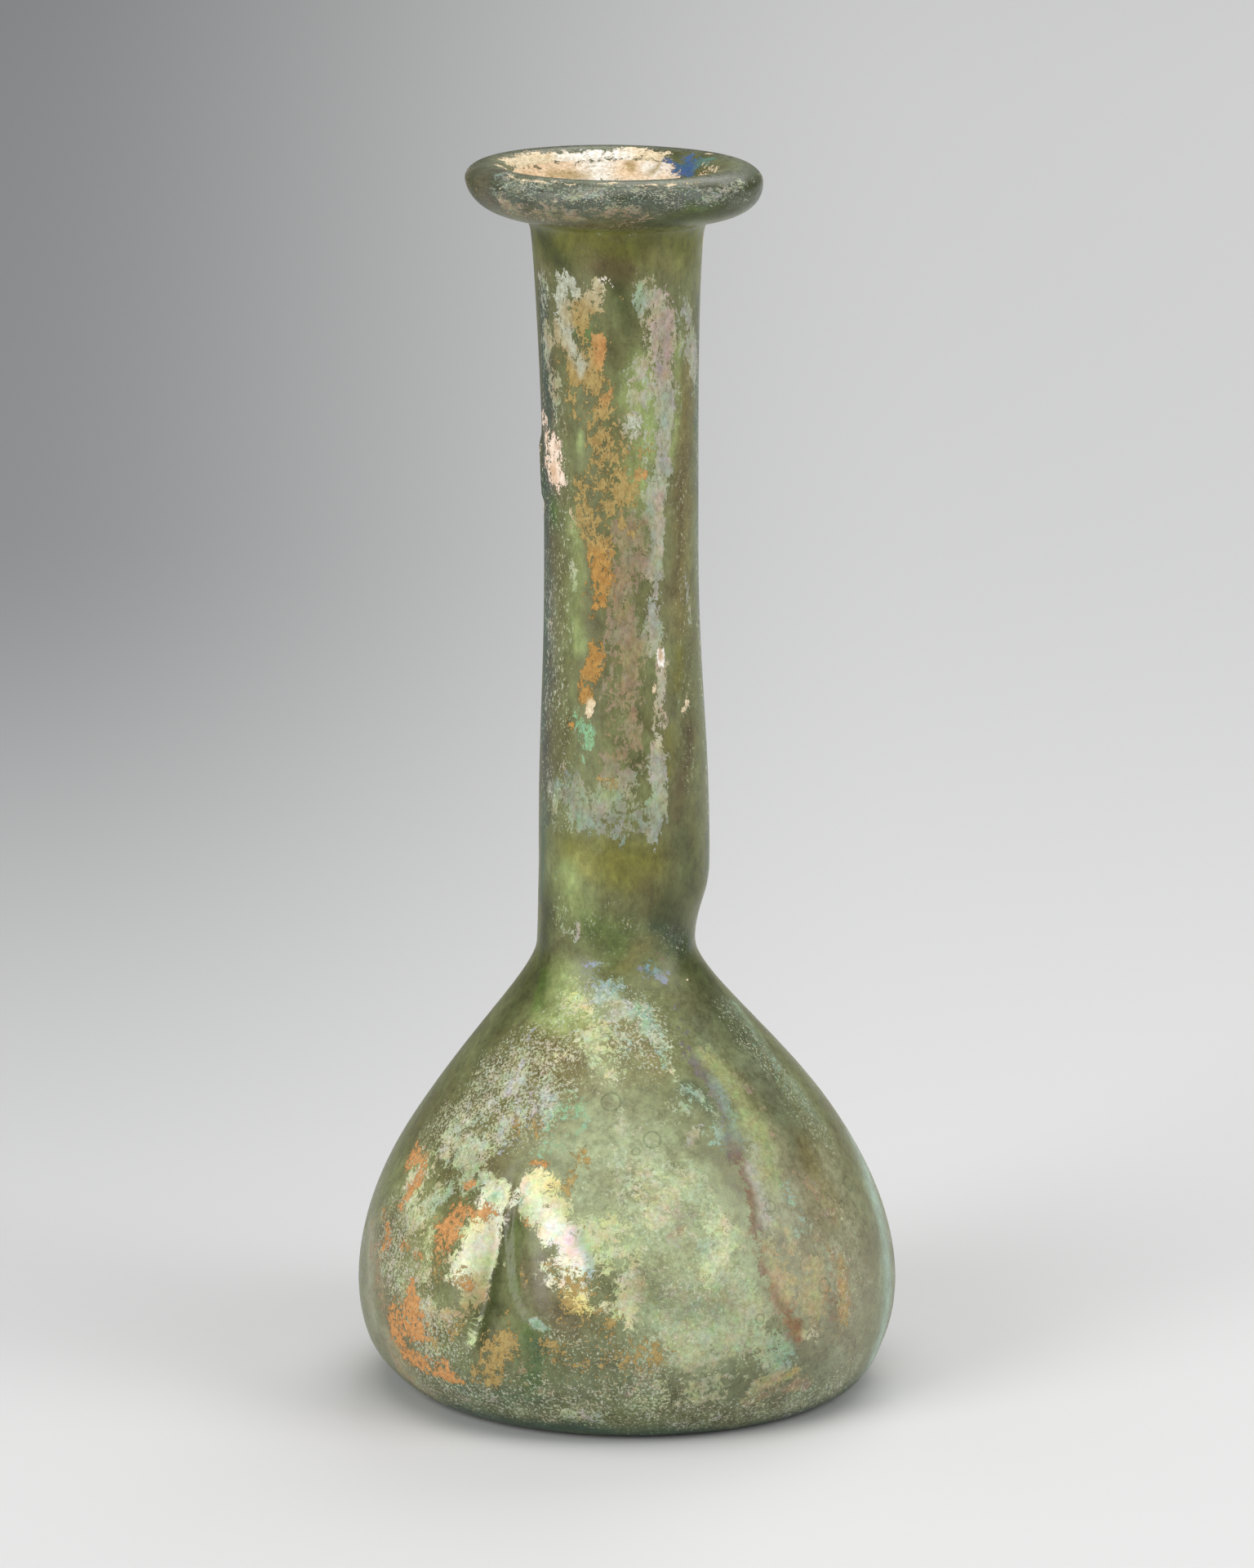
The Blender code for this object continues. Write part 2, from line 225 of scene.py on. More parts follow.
    ("slate glass of the rim", "glass_slate", 2.6, 0.95,
     ((0, 128.3, 15), (60, 128.3, 15), (120, 128.3, 15), (180, 128.3, 15), (240, 128.3, 15),
      (300, 128.3, 15), (360, 128.3, 15))),
    ("dark glass of the rim's back", "glass_dark_stain_and_shade", 2.2, 0.9,
     ((125, 129.6, 13), (180, 129.6, 13), (235, 129.6, 13))),
    ("dark glass of the rim's right", "glass_dark_stain_and_shade", 1.8, 0.8,
     ((48, 129.3, 13.6), (70, 129, 15), (90, 128.6, 15.2))),
    ("green window of the rim", "glass_green", 1.1, 0.8, ((30, 126.2, 14.8), (44, 126.6, 15))),
    ("olive window of the rim", "glass_clear", 0.9, 0.8, ((22, 125.6, 14.2), (34, 125.9, 14.6))),
    ("brown underside of the rim", "glass_brown", 1.4, 0.6,
     ((-52, 125.6, 14.4), (-30, 125.4, 14), (10, 125, 13.4))),
    ("smoke of the rim's left", "glass_smoke", 1.8, 0.7, ((-88, 128.2, 15.2), (-62, 128.2, 15.2))),
    ("dark lip, left", "glass_dark_stain_and_shade", 0.8, 0.7, ((-38, 129.8, 12.2), (-30, 129.8, 12.4))),
    ("dark lip, middle", "glass_teal_and_edge_shade", 0.7, 0.8,
     ((-20, 129.9, 12.6), (12, 129.9, 12.6), (30, 129.9, 12.6))),
    ("bronze back of the body", "glass_bronze", 9, 0.6, ((120, 22), (140, 14))),
    ("dull back of the body", "glass_dull", 8, 0.7, ((165, 20), (190, 12))),
    ("pale back of the body", "glass_pale", 7, 0.7, ((215, 24), (235, 16))),
    ("bright back shoulder", "glass_bright_painted_glow", 4, 0.6, ((170, 37), (200, 40))),
    ("dark back shoulder", "glass_dark_stain_and_shade", 3.5, 0.5, ((230, 40), (250, 36))),
    ("amber back waist", "glass_amber", 3, 0.6, ((120, 52), (170, 50), (210, 54))),
    ("clear back of the collar", "glass_clear", 3, 0.8, ((100, 121), (180, 121.5), (260, 121))),
    ("brown back of the neck", "glass_bronze", 2.5, 0.7, ((110, 110), (120, 90), (115, 75))),
    ("green back of the neck", "glass_green", 3, 0.5, ((190, 112), (200, 92), (185, 70))),
    ("dull back of the neck", "glass_dull", 2.4, 0.7, ((245, 110), (250, 90), (240, 66))),
    # Painted shade along the foot at the back.
    ("teal foot of the back", "glass_teal_and_edge_shade", 1.9, 0.9,
     ((80, 0.8), (120, 0.6), (160, 0.8), (200, 0.8), (240, 0.6), (280, 0.8))),
    ("underside", "glass_teal_and_edge_shade", 7, 0.7,
     ((0, 0.4, 16), (90, 0.4, 16), (180, 0.4, 16), (270, 0.4, 16), (360, 0.4, 16))),
    ("dull right shoulder, top", "glass_dark_stain_and_shade", 2.4, 0.7, ((66, 44), (59, 41), (61, 39.5))),
    ("dull start of the band", "glass_dull", 1.6, 0.8, ((44, 41), (41, 38.5))),
    # Painted shade where the waist turns away at its left side.
    ("dark sides of the waist", "glass_dark_stain_and_shade", 2, 0.6, ((-60, 53), (-63, 47.5), (-64, 44))),
    ("dark right of the waist", "glass_dark_stain_and_shade", 2.2, 0.75, ((35, 53), (54, 49), (60, 45.5))),
    ("pale upper middle", "glass_pale", 4.5, 0.7, ((-7, 32.5), (-1, 29.5), (-11, 31))),
    # Painted shade under the rim's right side.
    ("dark underside of the rim's right", "glass_dark_stain_and_shade", 1.3, 0.95,
     ((15, 125.6, 13.8), (35, 125.9, 14.4), (60, 126.2, 14.8))),
    ("taupe middle right", "glass_taupe", 3.5, 0.5, ((44, 26.5), (42, 20), (41, 13.5))),
    # Painted shade down the neck's right edge.
    ("teal neck, right edge", "glass_teal_and_edge_shade", 0.9, 0.7, ((78, 111.5), (81, 95.9), (86, 82))),
    # Painted glow of light shining through the neck.
    ("glow of the neck", "glass_bright_painted_glow", 1.4, 0.8, ((15, 110.5), (16, 102), (12, 97))),
    ("straw of the left flank", "glass_straw", 3, 0.9, ((-65, 24.5), (-53, 21), (-53, 16))),
    ("taupe of the left heel", "glass_taupe", 1.8, 0.7, ((-64, 7.5), (-60, 4.5), (-53, 3))),
    ("pale low middle", "glass_pale", 3, 0.7, ((6, 12.5), (14, 10.5), (23, 15))),
    ("smoke of the rim's left end", "glass_dark_stain_and_shade", 1.5, 0.8,
     ((-74, 128.6, 15.4), (-70, 127.3, 15.4), (-69, 126, 14.5))),
    ("dark of the rim's left crest", "glass_dark_stain_and_shade", 1, 0.85, ((-91, 129.8, 14.2), (-100, 129.9, 13.6))),
    ("dark right end of the rim", "glass_dark_stain_and_shade", 1.6, 0.8,
     ((60, 129.7, 14.4), (66, 128.7, 15.4), (68, 127.8, 15.5))),
    ("taupe of the left edge", "glass_taupe", 1.6, 0.7, ((-78, 18), (-72, 13.5), (-70, 8.5))),
    # Painted shade under the rim's right side.
    ("dark underside of the rim, right", "glass_dark_stain_and_shade", 1, 0.7,
     ((23, 125.4, 13.8), (37, 125.9, 14.5), (49, 126.6, 15))),
    ("green heel under the dent", "glass_teal_and_edge_shade", 1.2, 0.5, ((-40, 4.5), (-27, 4.5), (-19, 5))),
    ("slate of the neck's left", "glass_slate", 1.8, 0.65,
     ((-67, 115), (-70, 103), (-73, 89), (-68, 74.5), (-69, 61.5))),
    ("yellow right of the band", "glass_yellow", 1.2, 0.4, ((24, 121), (45, 120.5))),
)
# The cream, yellow and white pearl by the dent are partly painted highlight: the gloss where the dent's
# shoulders catch the left soft box.
PEARL_AND_HIGHLIGHTS = (
    ("left pearl", "pearl_cream_and_highlight", 1.9, 0.92, ((-34, 25), (-34, 22.5), (-36, 20), (-39, 18))),
    ("left pearl, yellow", "pearl_yellow_and_highlight", 0.9, 0.35, ((-36, 22.1), (-38, 20.7))),
    ("left pearl, low", "pearl_green", 1.1, 0.7, ((-33, 18.5), (-35, 16.5), (-37, 15.5))),
    ("beige pearl", "pearl_beige", 1.4, 0.6, ((-35, 15.5), (-37, 14), (-40, 12.5))),
    ("left pearl, far", "pearl_green", 1.4, 0.6, ((-50, 21), (-50, 18.5))),
    ("right pearl", "pearl_cream_and_highlight", 1.5, 0.95, ((-25, 26.5), (-21, 24), (-18, 22.5))),
    ("right pearl, yellow", "pearl_yellow_and_highlight", 1, 0.5, ((-25, 27), (-20, 26.5), (-18, 26))),
    # Painted highlight: the white gloss on the dent's right shoulder.
    ("right pearl, white", "pearl_white_and_highlight", 1.3, 1, ((-18, 23.5), (-15, 21.5), (-12, 20))),
    ("right pearl, green", "pearl_green", 1, 0.8, ((-25, 24.5), (-22, 23))),
    ("right pearl, pink", "pearl_pink", 0.9, 0.8, ((-13, 22.6), (-12, 21.2))),
    ("right pearl, blue", "pearl_blue", 0.6, 0.55, ((-10, 22.8), (-9, 21.2), (-8, 19))),
    ("right pearl, upper wing", "pearl_green", 1.5, 0.5, ((-16, 25.5), (-13, 24.5))),
    ("lower pearl", "pearl_cream_and_highlight", 1.7, 0.6, ((-16, 18.5), (-12, 17.5), (-9, 16.5))),
    ("pearl over the middle", "pearl_green", 2.6, 0.5, ((-4, 23.5), (-1, 20), (0, 15.5))),
    ("pearl of the shoulder", "pearl_green", 1.8, 0.4, ((-27, 43.5), (-8, 39))),
    ("blue eye of the waist", "pearl_teal", 1, 0.25, ((24, 46), (31, 46))),
    ("lilac under the eye", "pearl_lilac", 0.5, 0.62,
     ((17, 46.5), (20, 45.6), (26, 45), (36, 45.1), (42, 45.7))),
    ("red over the eye", "pearl_rose", 0.6, 0.5, ((30, 47.4), (41, 46.7))),
    ("teal of the eye", "pearl_blue", 0.5, 0.4, ((26, 46.2), (30, 45.9))),
    ("blue of the mouth", "lapis", 1.2, 1,
     ((146, 128.3, 10.4), (136, 128.5, 10.5), (126, 128.6, 10.6))),
    ("blue of the rim", "pearl_blue", 0.9, 0.35, ((28, 129, 14.6), (36, 128.8, 14.8))),
    ("pearl of the back", "pearl_green", 3.4, 0.6, ((160, 22), (172, 14))),
    ("cream pearl of the back", "pearl_cream_and_highlight", 1.8, 0.9, ((248, 22), (254, 15))),
    ("teal by the blue", "pearl_teal", 0.8, 0.7, ((122, 129.2, 11), (112, 129.3, 11.2))),
    ("left pearl, top", "pearl_green", 1.1, 0.55, ((-36, 27), (-34, 26))),
    ("left pearl, foot", "pearl_green", 0.9, 0.6, ((-34, 12.3), (-36, 10.2))),
    ("lower pearl, yellow", "pearl_yellow_and_highlight", 1, 0.7, ((-12, 16), (-10, 15))),
    # Painted highlight: a shine on the shoulder.
    ("shine of the shoulder", "pearl_green", 2, 0.5, ((-8, 41), (-4, 39), (-3, 37.5))),
    ("right pearl, far wing", "pearl_green", 1.3, 0.5, ((-13, 25), (-10, 23.5), (-8, 21))),
    # Painted highlight: a gleam on the shoulder.
    ("gleam of the shoulder", "pearl_yellow_and_highlight", 1.4, 0.14, ((-28, 44), (-18, 42.5))),
    ("pearl round the left rust", "pearl_green", 1.2, 0.6, ((-43, 18.5), (-43, 20), (-40, 22))),
)
FILM = (
    ("lilac strip, top", "film_lilac", 2.2, 0.62, ((27, 117), (28, 112.5), (30, 108))),
    ("lilac strip, middle", "film_grey", 1, 0.95, ((28, 93.5), (26, 87), (24, 80))),
    ("lilac strip, lower", "film_lilac", 0.8, 0.75, ((28, 78.1), (27, 73), (24, 70))),
    ("pale foot", "film_green", 1.4, 0.38, ((-35, 64), (-24, 65.5), (-12, 64), (-34, 62.5))),
    ("teal foot", "film_teal", 0.9, 0.7, ((-26, 62.7), (-21, 62))),
    ("teal of the middle", "film_teal", 1.2, 0.5, ((-5, 67.5), (4, 66.5))),
    ("teal flake under the rim", "film_teal", 0.8, 0.5, ((17, 117.7), (13, 116))),
    ("pale flake under the rim", "film_green", 0.6, 0.4, ((26, 119.1),)),
    ("grey-green on the left edge", "film_grey", 1.2, 0.24, ((-66, 118.5), (-67, 111.5), (-69, 105))),
    ("grey on the left edge", "film_grey", 1.5, 0.14, ((-65, 91), (-68, 82.5), (-65, 74.5), (-70, 67))),
    ("mint by the crust", "film_mint", 0.8, 0.45, ((-34, 75.5), (-36, 72.8))),
    ("mint below the crust", "film_mint", 0.8, 0.4, ((-28, 72.3), (-30, 69.1))),
    ("green by the crust", "film_green", 0.7, 0.6, ((-40, 89.1), (-35, 86.6))),
    ("green of the middle", "film_green", 0.9, 0.5, ((18, 101.8), (19, 97.1))),
    ("mist right of the strip", "film_grey", 0.8, 0.3, ((61, 87.8), (64, 82.5))),
    ("streak at the waist", "film_grey", 0.5, 0.8, ((-32, 51.1), (-30, 49.2))),
    ("mist at the waist, left", "film_green", 0.9, 0.3, ((-44, 53.1), (-38, 50.1))),
    ("mist at the waist", "film_green", 1.3, 0.25, ((-2, 53), (4, 51))),
    ("mist left of the ring", "film_teal", 0.5, 0.5, ((-48, 58.3), (-53, 55.9))),
    ("lilac flecks of the shoulder", "film_blue", 1.6, 0.35, ((-15, 45.5), (-9, 44.5))),
    ("teal flecks of the shoulder", "film_teal", 2.4, 0.34, ((-5, 44.5), (4, 42.5), (-3, 40))),
    ("lilac patch of the shoulder", "film_lilac", 0.9, 0.45, ((1, 43), (2, 40.9))),
    ("pale flecks of the shoulder", "film_cream", 3, 0.1, ((-31, 43), (-16, 42.5), (-20, 38.5))),
    ("fine flecks of the brown shoulder", "film_cream", 3.4, 0.14, ((-39, 38), (-24, 38.5), (-37, 35))),
    ("flecks of the right shoulder", "film_teal", 1.5, 0.25, ((73, 40), (69, 35.5), (66, 30.5))),
    ("mint flecks, first", "film_mint", 0.6, 0.5, ((-22, 33.4), (-20, 34.2))),
    ("mint flecks, second", "film_mint", 0.5, 0.5, ((-14, 33.8), (-12, 32.4))),
    ("mint flecks, third", "film_mint", 2.2, 0.3, ((-22, 31), (-16, 32.5), (-22, 34))),
    ("blue flecks", "film_blue", 1.8, 0.3, ((-40, 34.5), (-31, 31), (-30, 34))),
    ("rose tint", "film_rose", 1.2, 0.5, ((-36, 34.5), (-30, 34))),
    ("blue line", "film_blue", 0.35, 0.6,
     ((-44, 39.8), (-42, 37.3), (-41, 33.8), (-39, 31.4), (-34, 28.9))),
    ("purple streak, top", "film_slate", 0.9, 0.5, ((34, 42.2), (30, 40.1), (29, 38.3))),
    ("purple streak", "film_slate", 1.05, 0.74,
     ((29, 37.5), (31, 36.5), (33, 34.5), (33, 33), (32, 31), (32, 29.5))),
    ("purple streak, low", "film_umber", 1, 0.68,
     ((33, 30.5), (33, 27.5), (33, 26), (32, 24), (30, 22))),
    ("purple streak, foot", "film_umber", 1, 0.5, ((32, 20), (32, 17), (34, 14.5))),
    ("teal by the streak", "film_teal", 1.2, 0.45, ((22, 35.5), (24, 33.5), (28, 31))),
    ("lilac by the streak", "film_grey", 1, 0.9, ((38, 29.5), (36, 27), (35, 23))),
    ("beige by the streak", "film_beige", 1, 0.9, ((34, 20.5), (35, 18), (37, 15.5))),
    ("rust-brown foot of the streak", "film_rust", 0.9, 0.85,
     ((34, 16.4), (36, 13.6), (38, 11.2), (36, 10.1))),
    ("beige flat patch", "film_beige", 1.3, 1, ((46, 17.5), (46, 15), (44, 12.5), (41, 14.5))),
    ("gold edge of the flat patch", "film_gold", 0.4, 0.9, ((49, 14.4), (47, 12.5), (44, 11.2))),
    ("brown right of the patch", "film_umber", 0.7, 0.5, ((50, 13.1), (47, 10.9))),
    ("cream under the patch", "film_cream", 0.7, 0.9, ((40, 10.9), (42, 10))),
    ("mint patch", "film_teal", 1.3, 0.85, ((31, 10.5), (34, 9), (34, 7.5))),
    ("yellow patch", "film_beige", 0.9, 0.95, ((28, 6), (33, 6.5), (39, 6.7))),
    ("brown on the yellow patch", "film_gold", 0.5, 0.8, ((36, 6.8), (38, 7.2))),
    ("brown below the yellow patch", "film_tan", 1.1, 0.8, ((27, 4.5), (33, 4.5), (42, 5))),
    ("teal patch right", "film_teal", 1.2, 0.5, ((44, 25), (46, 22.5), (42, 21.5))),
    ("green film of the middle", "film_green", 4.2, 0.46, ((1, 28), (10, 25), (17, 21), (14, 16))),
    ("green film, upper", "film_green", 2.6, 0.25, ((-1, 32.5), (8, 31.5), (23, 33.5))),
    ("green film, lower", "film_green", 2.6, 0.75, ((12, 14), (13, 12), (24, 13.5), (28, 10.5))),
    ("green film right", "film_green", 2.4, 0.6, ((23, 21.5), (24, 16.5), (29, 14))),
    ("bright lobe", "film_cream", 1.2, 0.7, ((0, 18.5), (2, 16.5), (0, 14.5))),
    ("smooth lobe", "film_green", 1.6, 0.9, ((11, 14), (13, 12.5))),
    ("pale mottles", "film_green", 2.2, 0.3, ((5, 28), (16, 28.5), (21, 25.5))),
    ("blue-grey tint", "film_slate", 1.2, 0.35, ((12, 25), (15, 24))),
    ("teal tint", "film_teal", 1.3, 0.5, ((18, 20.5), (22, 19.5))),
    ("grey by the brown streak", "film_grey", 0.9, 0.6, ((8, 22.4), (11, 21.9))),
    ("brown spot", "film_umber", 0.75, 0.9, ((6, 26.5), (7, 25.8))),
    ("brown streak", "film_tan", 0.45, 0.9, ((10, 22.6), (14, 23.1))),
    ("dark fleck", "film_moss", 0.5, 0.8, ((2, 19.7), (3, 19))),
    ("mottled low middle", "film_moss", 2.4, 0.4, ((4, 17.5), (7, 15.5), (20, 15))),
    ("flesh patch", "film_tan", 0.9, 0.8, ((20, 31.6), (19, 30.6))),
    ("flesh patch, rim", "film_grey", 0.8, 0.6, ((17, 30.8), (24, 32))),
    ("tan of the low middle", "film_tan", 2.6, 0.25, ((-19, 7.5), (-5, 8), (9, 7.5), (20, 6.5))),
    ("grey of the foot", "film_grey", 1.4, 0.26, ((-32, 3.5), (-13, 3), (5, 2.5), (24, 2), (40, 2.5))),
    ("moss on the left", "film_moss", 2, 0.4, ((-58, 20), (-52, 16))),
    ("green-yellow on the left", "film_cream", 2.4, 0.35,
     ((-65, 24), (-53, 21), (-53, 16.5), (-47, 14.5))),
    ("blue-grey on the left", "film_teal", 1.2, 0.5, ((-53, 23.5), (-46, 25.5), (-44, 27))),
    ("pale upper left", "film_cream", 2.6, 0.2, ((-50, 27.5), (-61, 27.5), (-44, 29.5))),
    ("beige left low", "film_beige", 1.6, 0.6, ((-42, 11.5), (-48, 13))),
    ("pale dash", "film_cream", 0.35, 1, ((-59, 29.3), (-54, 27.4))),
    ("white flakes over the dent", "film_white_and_highlight", 0.5, 0.9, ((-39, 27.2), (-36, 26.3))),
    ("white flakes by the dent", "film_white_and_highlight", 0.55, 0.9, ((-34, 25.6), (-34, 24.5))),
    # Painted highlight: the white glint at the top of the dent.
    ("painted highlight at the top of the dent", "film_white_and_highlight", 0.5, 1, ((-29, 26.3), (-27, 26.1))),
    ("mint flake by the dent", "film_mint", 0.5, 0.8, ((-35, 25.4), (-35, 24.7))),
    ("teal foot of the dent", "film_teal", 0.5, 0.9, ((-30, 13.6), (-30, 12.3))),
    ("teal end of the ridge", "film_teal", 0.5, 0.9, ((-21, 13.3), (-18, 12.8))),
    ("blue-green by the dent", "film_teal", 0.8, 0.5, ((-25, 12.3), (-26, 9.6))),
    # Painted highlight along the ridge of the dent.
    ("light ridge of the dent", "film_ridge_highlight", 0.26, 0.5,
     ((-27, 25.8), (-27, 24.7), (-29, 23.1), (-29, 21.2), (-28, 19.2), (-25, 16.2), (-22, 14.4))),
    ("mint dot", "film_mint", 0.35, 1, ((-10, 11.7),)),
    ("dirty left heel", "film_tan", 1.5, 0.8, ((-62, 6.5), (-60, 3.5), (-54, 2))),
    ("tan right of the dent", "film_tan", 0.8, 0.7, ((-24, 19.5), (-22, 16.7))),
    ("dark of the low left", "film_moss", 1.5, 0.5, ((-50, 4.5), (-40, 4.5), (-31, 5.5))),
    ("rim, underside", "film_tan", 1, 0.05,
     ((-56, 125.9, 14.5), (-27, 125.3, 13.7), (-2, 124.7, 12.2), (22, 125, 13))),
    ("rim, teal front", "film_teal", 0.9, 0.14, ((-58, 128.8, 15), (-30, 128.6, 15.2))),
    ("rim, ash front", "film_ash", 1.5, 0.45,
     ((-52, 129.2, 14.5), (-45, 129.2, 14.3), (-15, 129.1, 14.5), (20, 129.1, 14.5), (45, 129, 14.7))),
    ("rim, grey front", "film_grey", 1.4, 0.12,
     ((-50, 129.2, 14.2), (-15, 129.2, 14.4), (15, 129.2, 14.4))),
    ("rim, streak", "film_grey", 0.5, 0.25, ((-57, 126.9, 15.2), (-38, 127, 15.3), (-17, 126.8, 15.2))),
    ("under the rim", "film_grey", 0.45, 0.45,
     ((-40, 125, 13.1), (-24, 124.6, 11.6), (-3, 123.7), (18, 124.6, 11.9))),
    ("lilac back strip", "film_lilac", 1.6, 0.8, ((150, 112), (155, 98), (150, 84))),
    ("grey back strip", "film_grey", 1.8, 0.6, ((175, 90), (180, 76), (170, 66))),
    ("green back strip", "film_green", 2, 0.6, ((225, 108), (222, 96))),
    ("tan of the back neck", "film_tan", 1.8, 0.6, ((205, 84), (212, 70))),
    ("mottled back of the body", "film_green", 7, 0.6, ((150, 26), (185, 22), (215, 26))),
    ("mottled back of the body, low", "film_grey", 5, 0.5, ((130, 10), (180, 8), (230, 10))),
    ("umber streak of the back", "film_umber", 1, 0.7, ((140, 38), (146, 28), (143, 18))),
    ("teal patch of the back", "film_teal", 2.4, 0.6, ((170, 16), (182, 20))),
    ("beige patch of the back", "film_beige", 2, 0.8, ((200, 15), (208, 10))),
    ("cream flecks of the back shoulder", "film_cream", 5, 0.4, ((180, 38), (215, 34))),
    ("blue flecks of the back", "film_blue", 2.4, 0.35, ((235, 30), (245, 24))),
    ("grey of the underside", "film_grey", 6, 0.5,
     ((30, 0.4, 18), (120, 0.4, 18), (210, 0.4, 18), (300, 0.4, 18))),
    ("lilac strip, left fringe", "film_grey", 1.8, 0.34, ((16, 110.5), (18, 104), (16, 97))),
    ("lilac strip, heart", "film_rose", 0.8, 0.4, ((30, 114.9), (33, 111.5), (30, 109))),
    ("lilac strip, upper", "film_grey", 1.3, 0.95, ((32, 107), (32, 101.5), (30, 95.5))),
    ("lilac strip, lilac middle", "film_lilac", 0.7, 0.6, ((30, 97.7), (28, 91))),
    ("lilac strip, foot", "film_grey", 1, 0.8, ((24, 69), (26, 64.5), (23, 60.5))),
    ("tan lace of the neck, upper", "film_tan", 2.1, 0.74, ((4, 93), (2, 87), (4, 81))),
    ("tan lace of the neck, lower", "film_tan", 2.2, 0.64, ((0, 79), (1, 73), (-2, 67))),
    ("tan film of the neck", "film_tan", 1.2, 0.6, ((0, 88.5), (-6, 83.5))),
    ("mottled foot of the film", "film_green", 2.3, 0.28, ((-53, 63), (-16, 64), (17, 63.5))),
    ("mottled foot of the film, low", "film_grey", 1.3, 0.25, ((-16, 61.5), (6, 61), (22, 61))),
    ("grey on the upper left", "film_grey", 1.5, 0.38, ((-59, 118), (-57, 111), (-58, 105))),
    ("pale grains of the yellow band", "film_cream", 0.7, 0.35, ((16, 40.7), (19, 38.6), (20, 36.4))),
    ("rim, tan below", "film_tan", 1.2, 0.5, ((-50, 126.9, 15.2), (-20, 126.7, 15.1), (12, 126.6, 15))),
    ("rim, grey right", "film_grey", 1.1, 0.4, ((38, 128.8, 15), (70, 128.6, 15.3))),
    ("straw band", "glass_straw", 1.5, 0.8,
     ((36, 38), (39, 36), (39, 34), (41, 31), (41, 28.5), (40, 26.5))),
    ("straw band, edge", "film_tan", 0.8, 0.5, ((46, 35.7), (48, 33), (47, 30))),
    ("green of the low right", "film_green", 2.6, 0.5, ((14, 9.5), (21, 7), (12, 6.5))),
    ("pale left shoulder", "film_cream", 2.6, 0.18, ((-52, 33), (-48, 35), (-58, 31))),
    ("tan of the right flank", "film_tan", 3, 0.3, ((52, 21), (56, 15.5), (48, 11))),
    ("beige right of the streak", "film_beige", 1.6, 0.45, ((39, 22), (40, 18.5), (40, 15.5))),
    ("cream mottles of the middle", "film_cream", 1.8, 0.5, ((5, 27), (10, 26), (7, 25))),
    ("tan left edge", "film_tan", 1.6, 0.6, ((-77, 18), (-67, 14), (-63, 10.5))),
    ("beige left heel", "film_beige", 1.6, 0.45, ((-58, 6.5), (-57, 3.5))),
    ("pale chips of the neck's right", "film_grey", 1.2, 0.75, ((62, 115), (67, 112.5), (72, 109))),
    ("green film of the upper left", "film_green", 2.6, 0.45, ((-54, 29.5), (-43, 29), (-52, 26))),
    ("beige upper left of the neck", "film_beige", 1.3, 0.42,
     ((-58, 113.5), (-54, 110.5), (-60, 106.5))),
    ("grey right of the strip's top", "film_grey", 1.3, 0.3, ((51, 117), (54, 112), (50, 107.5))),
    ("pale film of the left flank", "film_cream", 2, 0.4, ((-65, 25.5), (-54, 24), (-54, 20.5))),
    ("pale film beside the left pearl", "film_green", 1.6, 0.5,
     ((-51, 28.5), (-40, 26.5), (-42, 25.5))),
    ("teal of the band's edge", "film_teal", 0.7, 0.6, ((33, 35.3), (34, 32.8), (34, 30.2))),
    ("cream over the low right", "film_green", 1.4, 0.6, ((25, 18), (28, 14.5), (26, 11.5))),
    ("pale lobes of the middle", "film_cream", 1.1, 0.75, ((22, 23), (24, 20.5), (18, 18.5))),
    ("pale lobes of the low middle", "film_green", 1.2, 0.85,
     ((6, 14.5), (10, 13), (18, 13), (23, 11.5))),
    ("tan blotches of the right flank", "film_tan", 1.2, 0.5, ((52, 26.5), (53, 24), (54, 20.5))),
    ("gold drips of the right flank", "film_gold", 0.8, 0.4, ((54, 17.5), (53, 13.3), (51, 9.1))),
    ("teal over the shoulder's right", "film_teal", 1, 0.4, ((15, 42.5), (16, 40), (17, 38))),
    ("ash foot of the film", "film_ash", 2.2, 0.5, ((-45, 65.5), (-19, 62.5), (14, 62))),
)
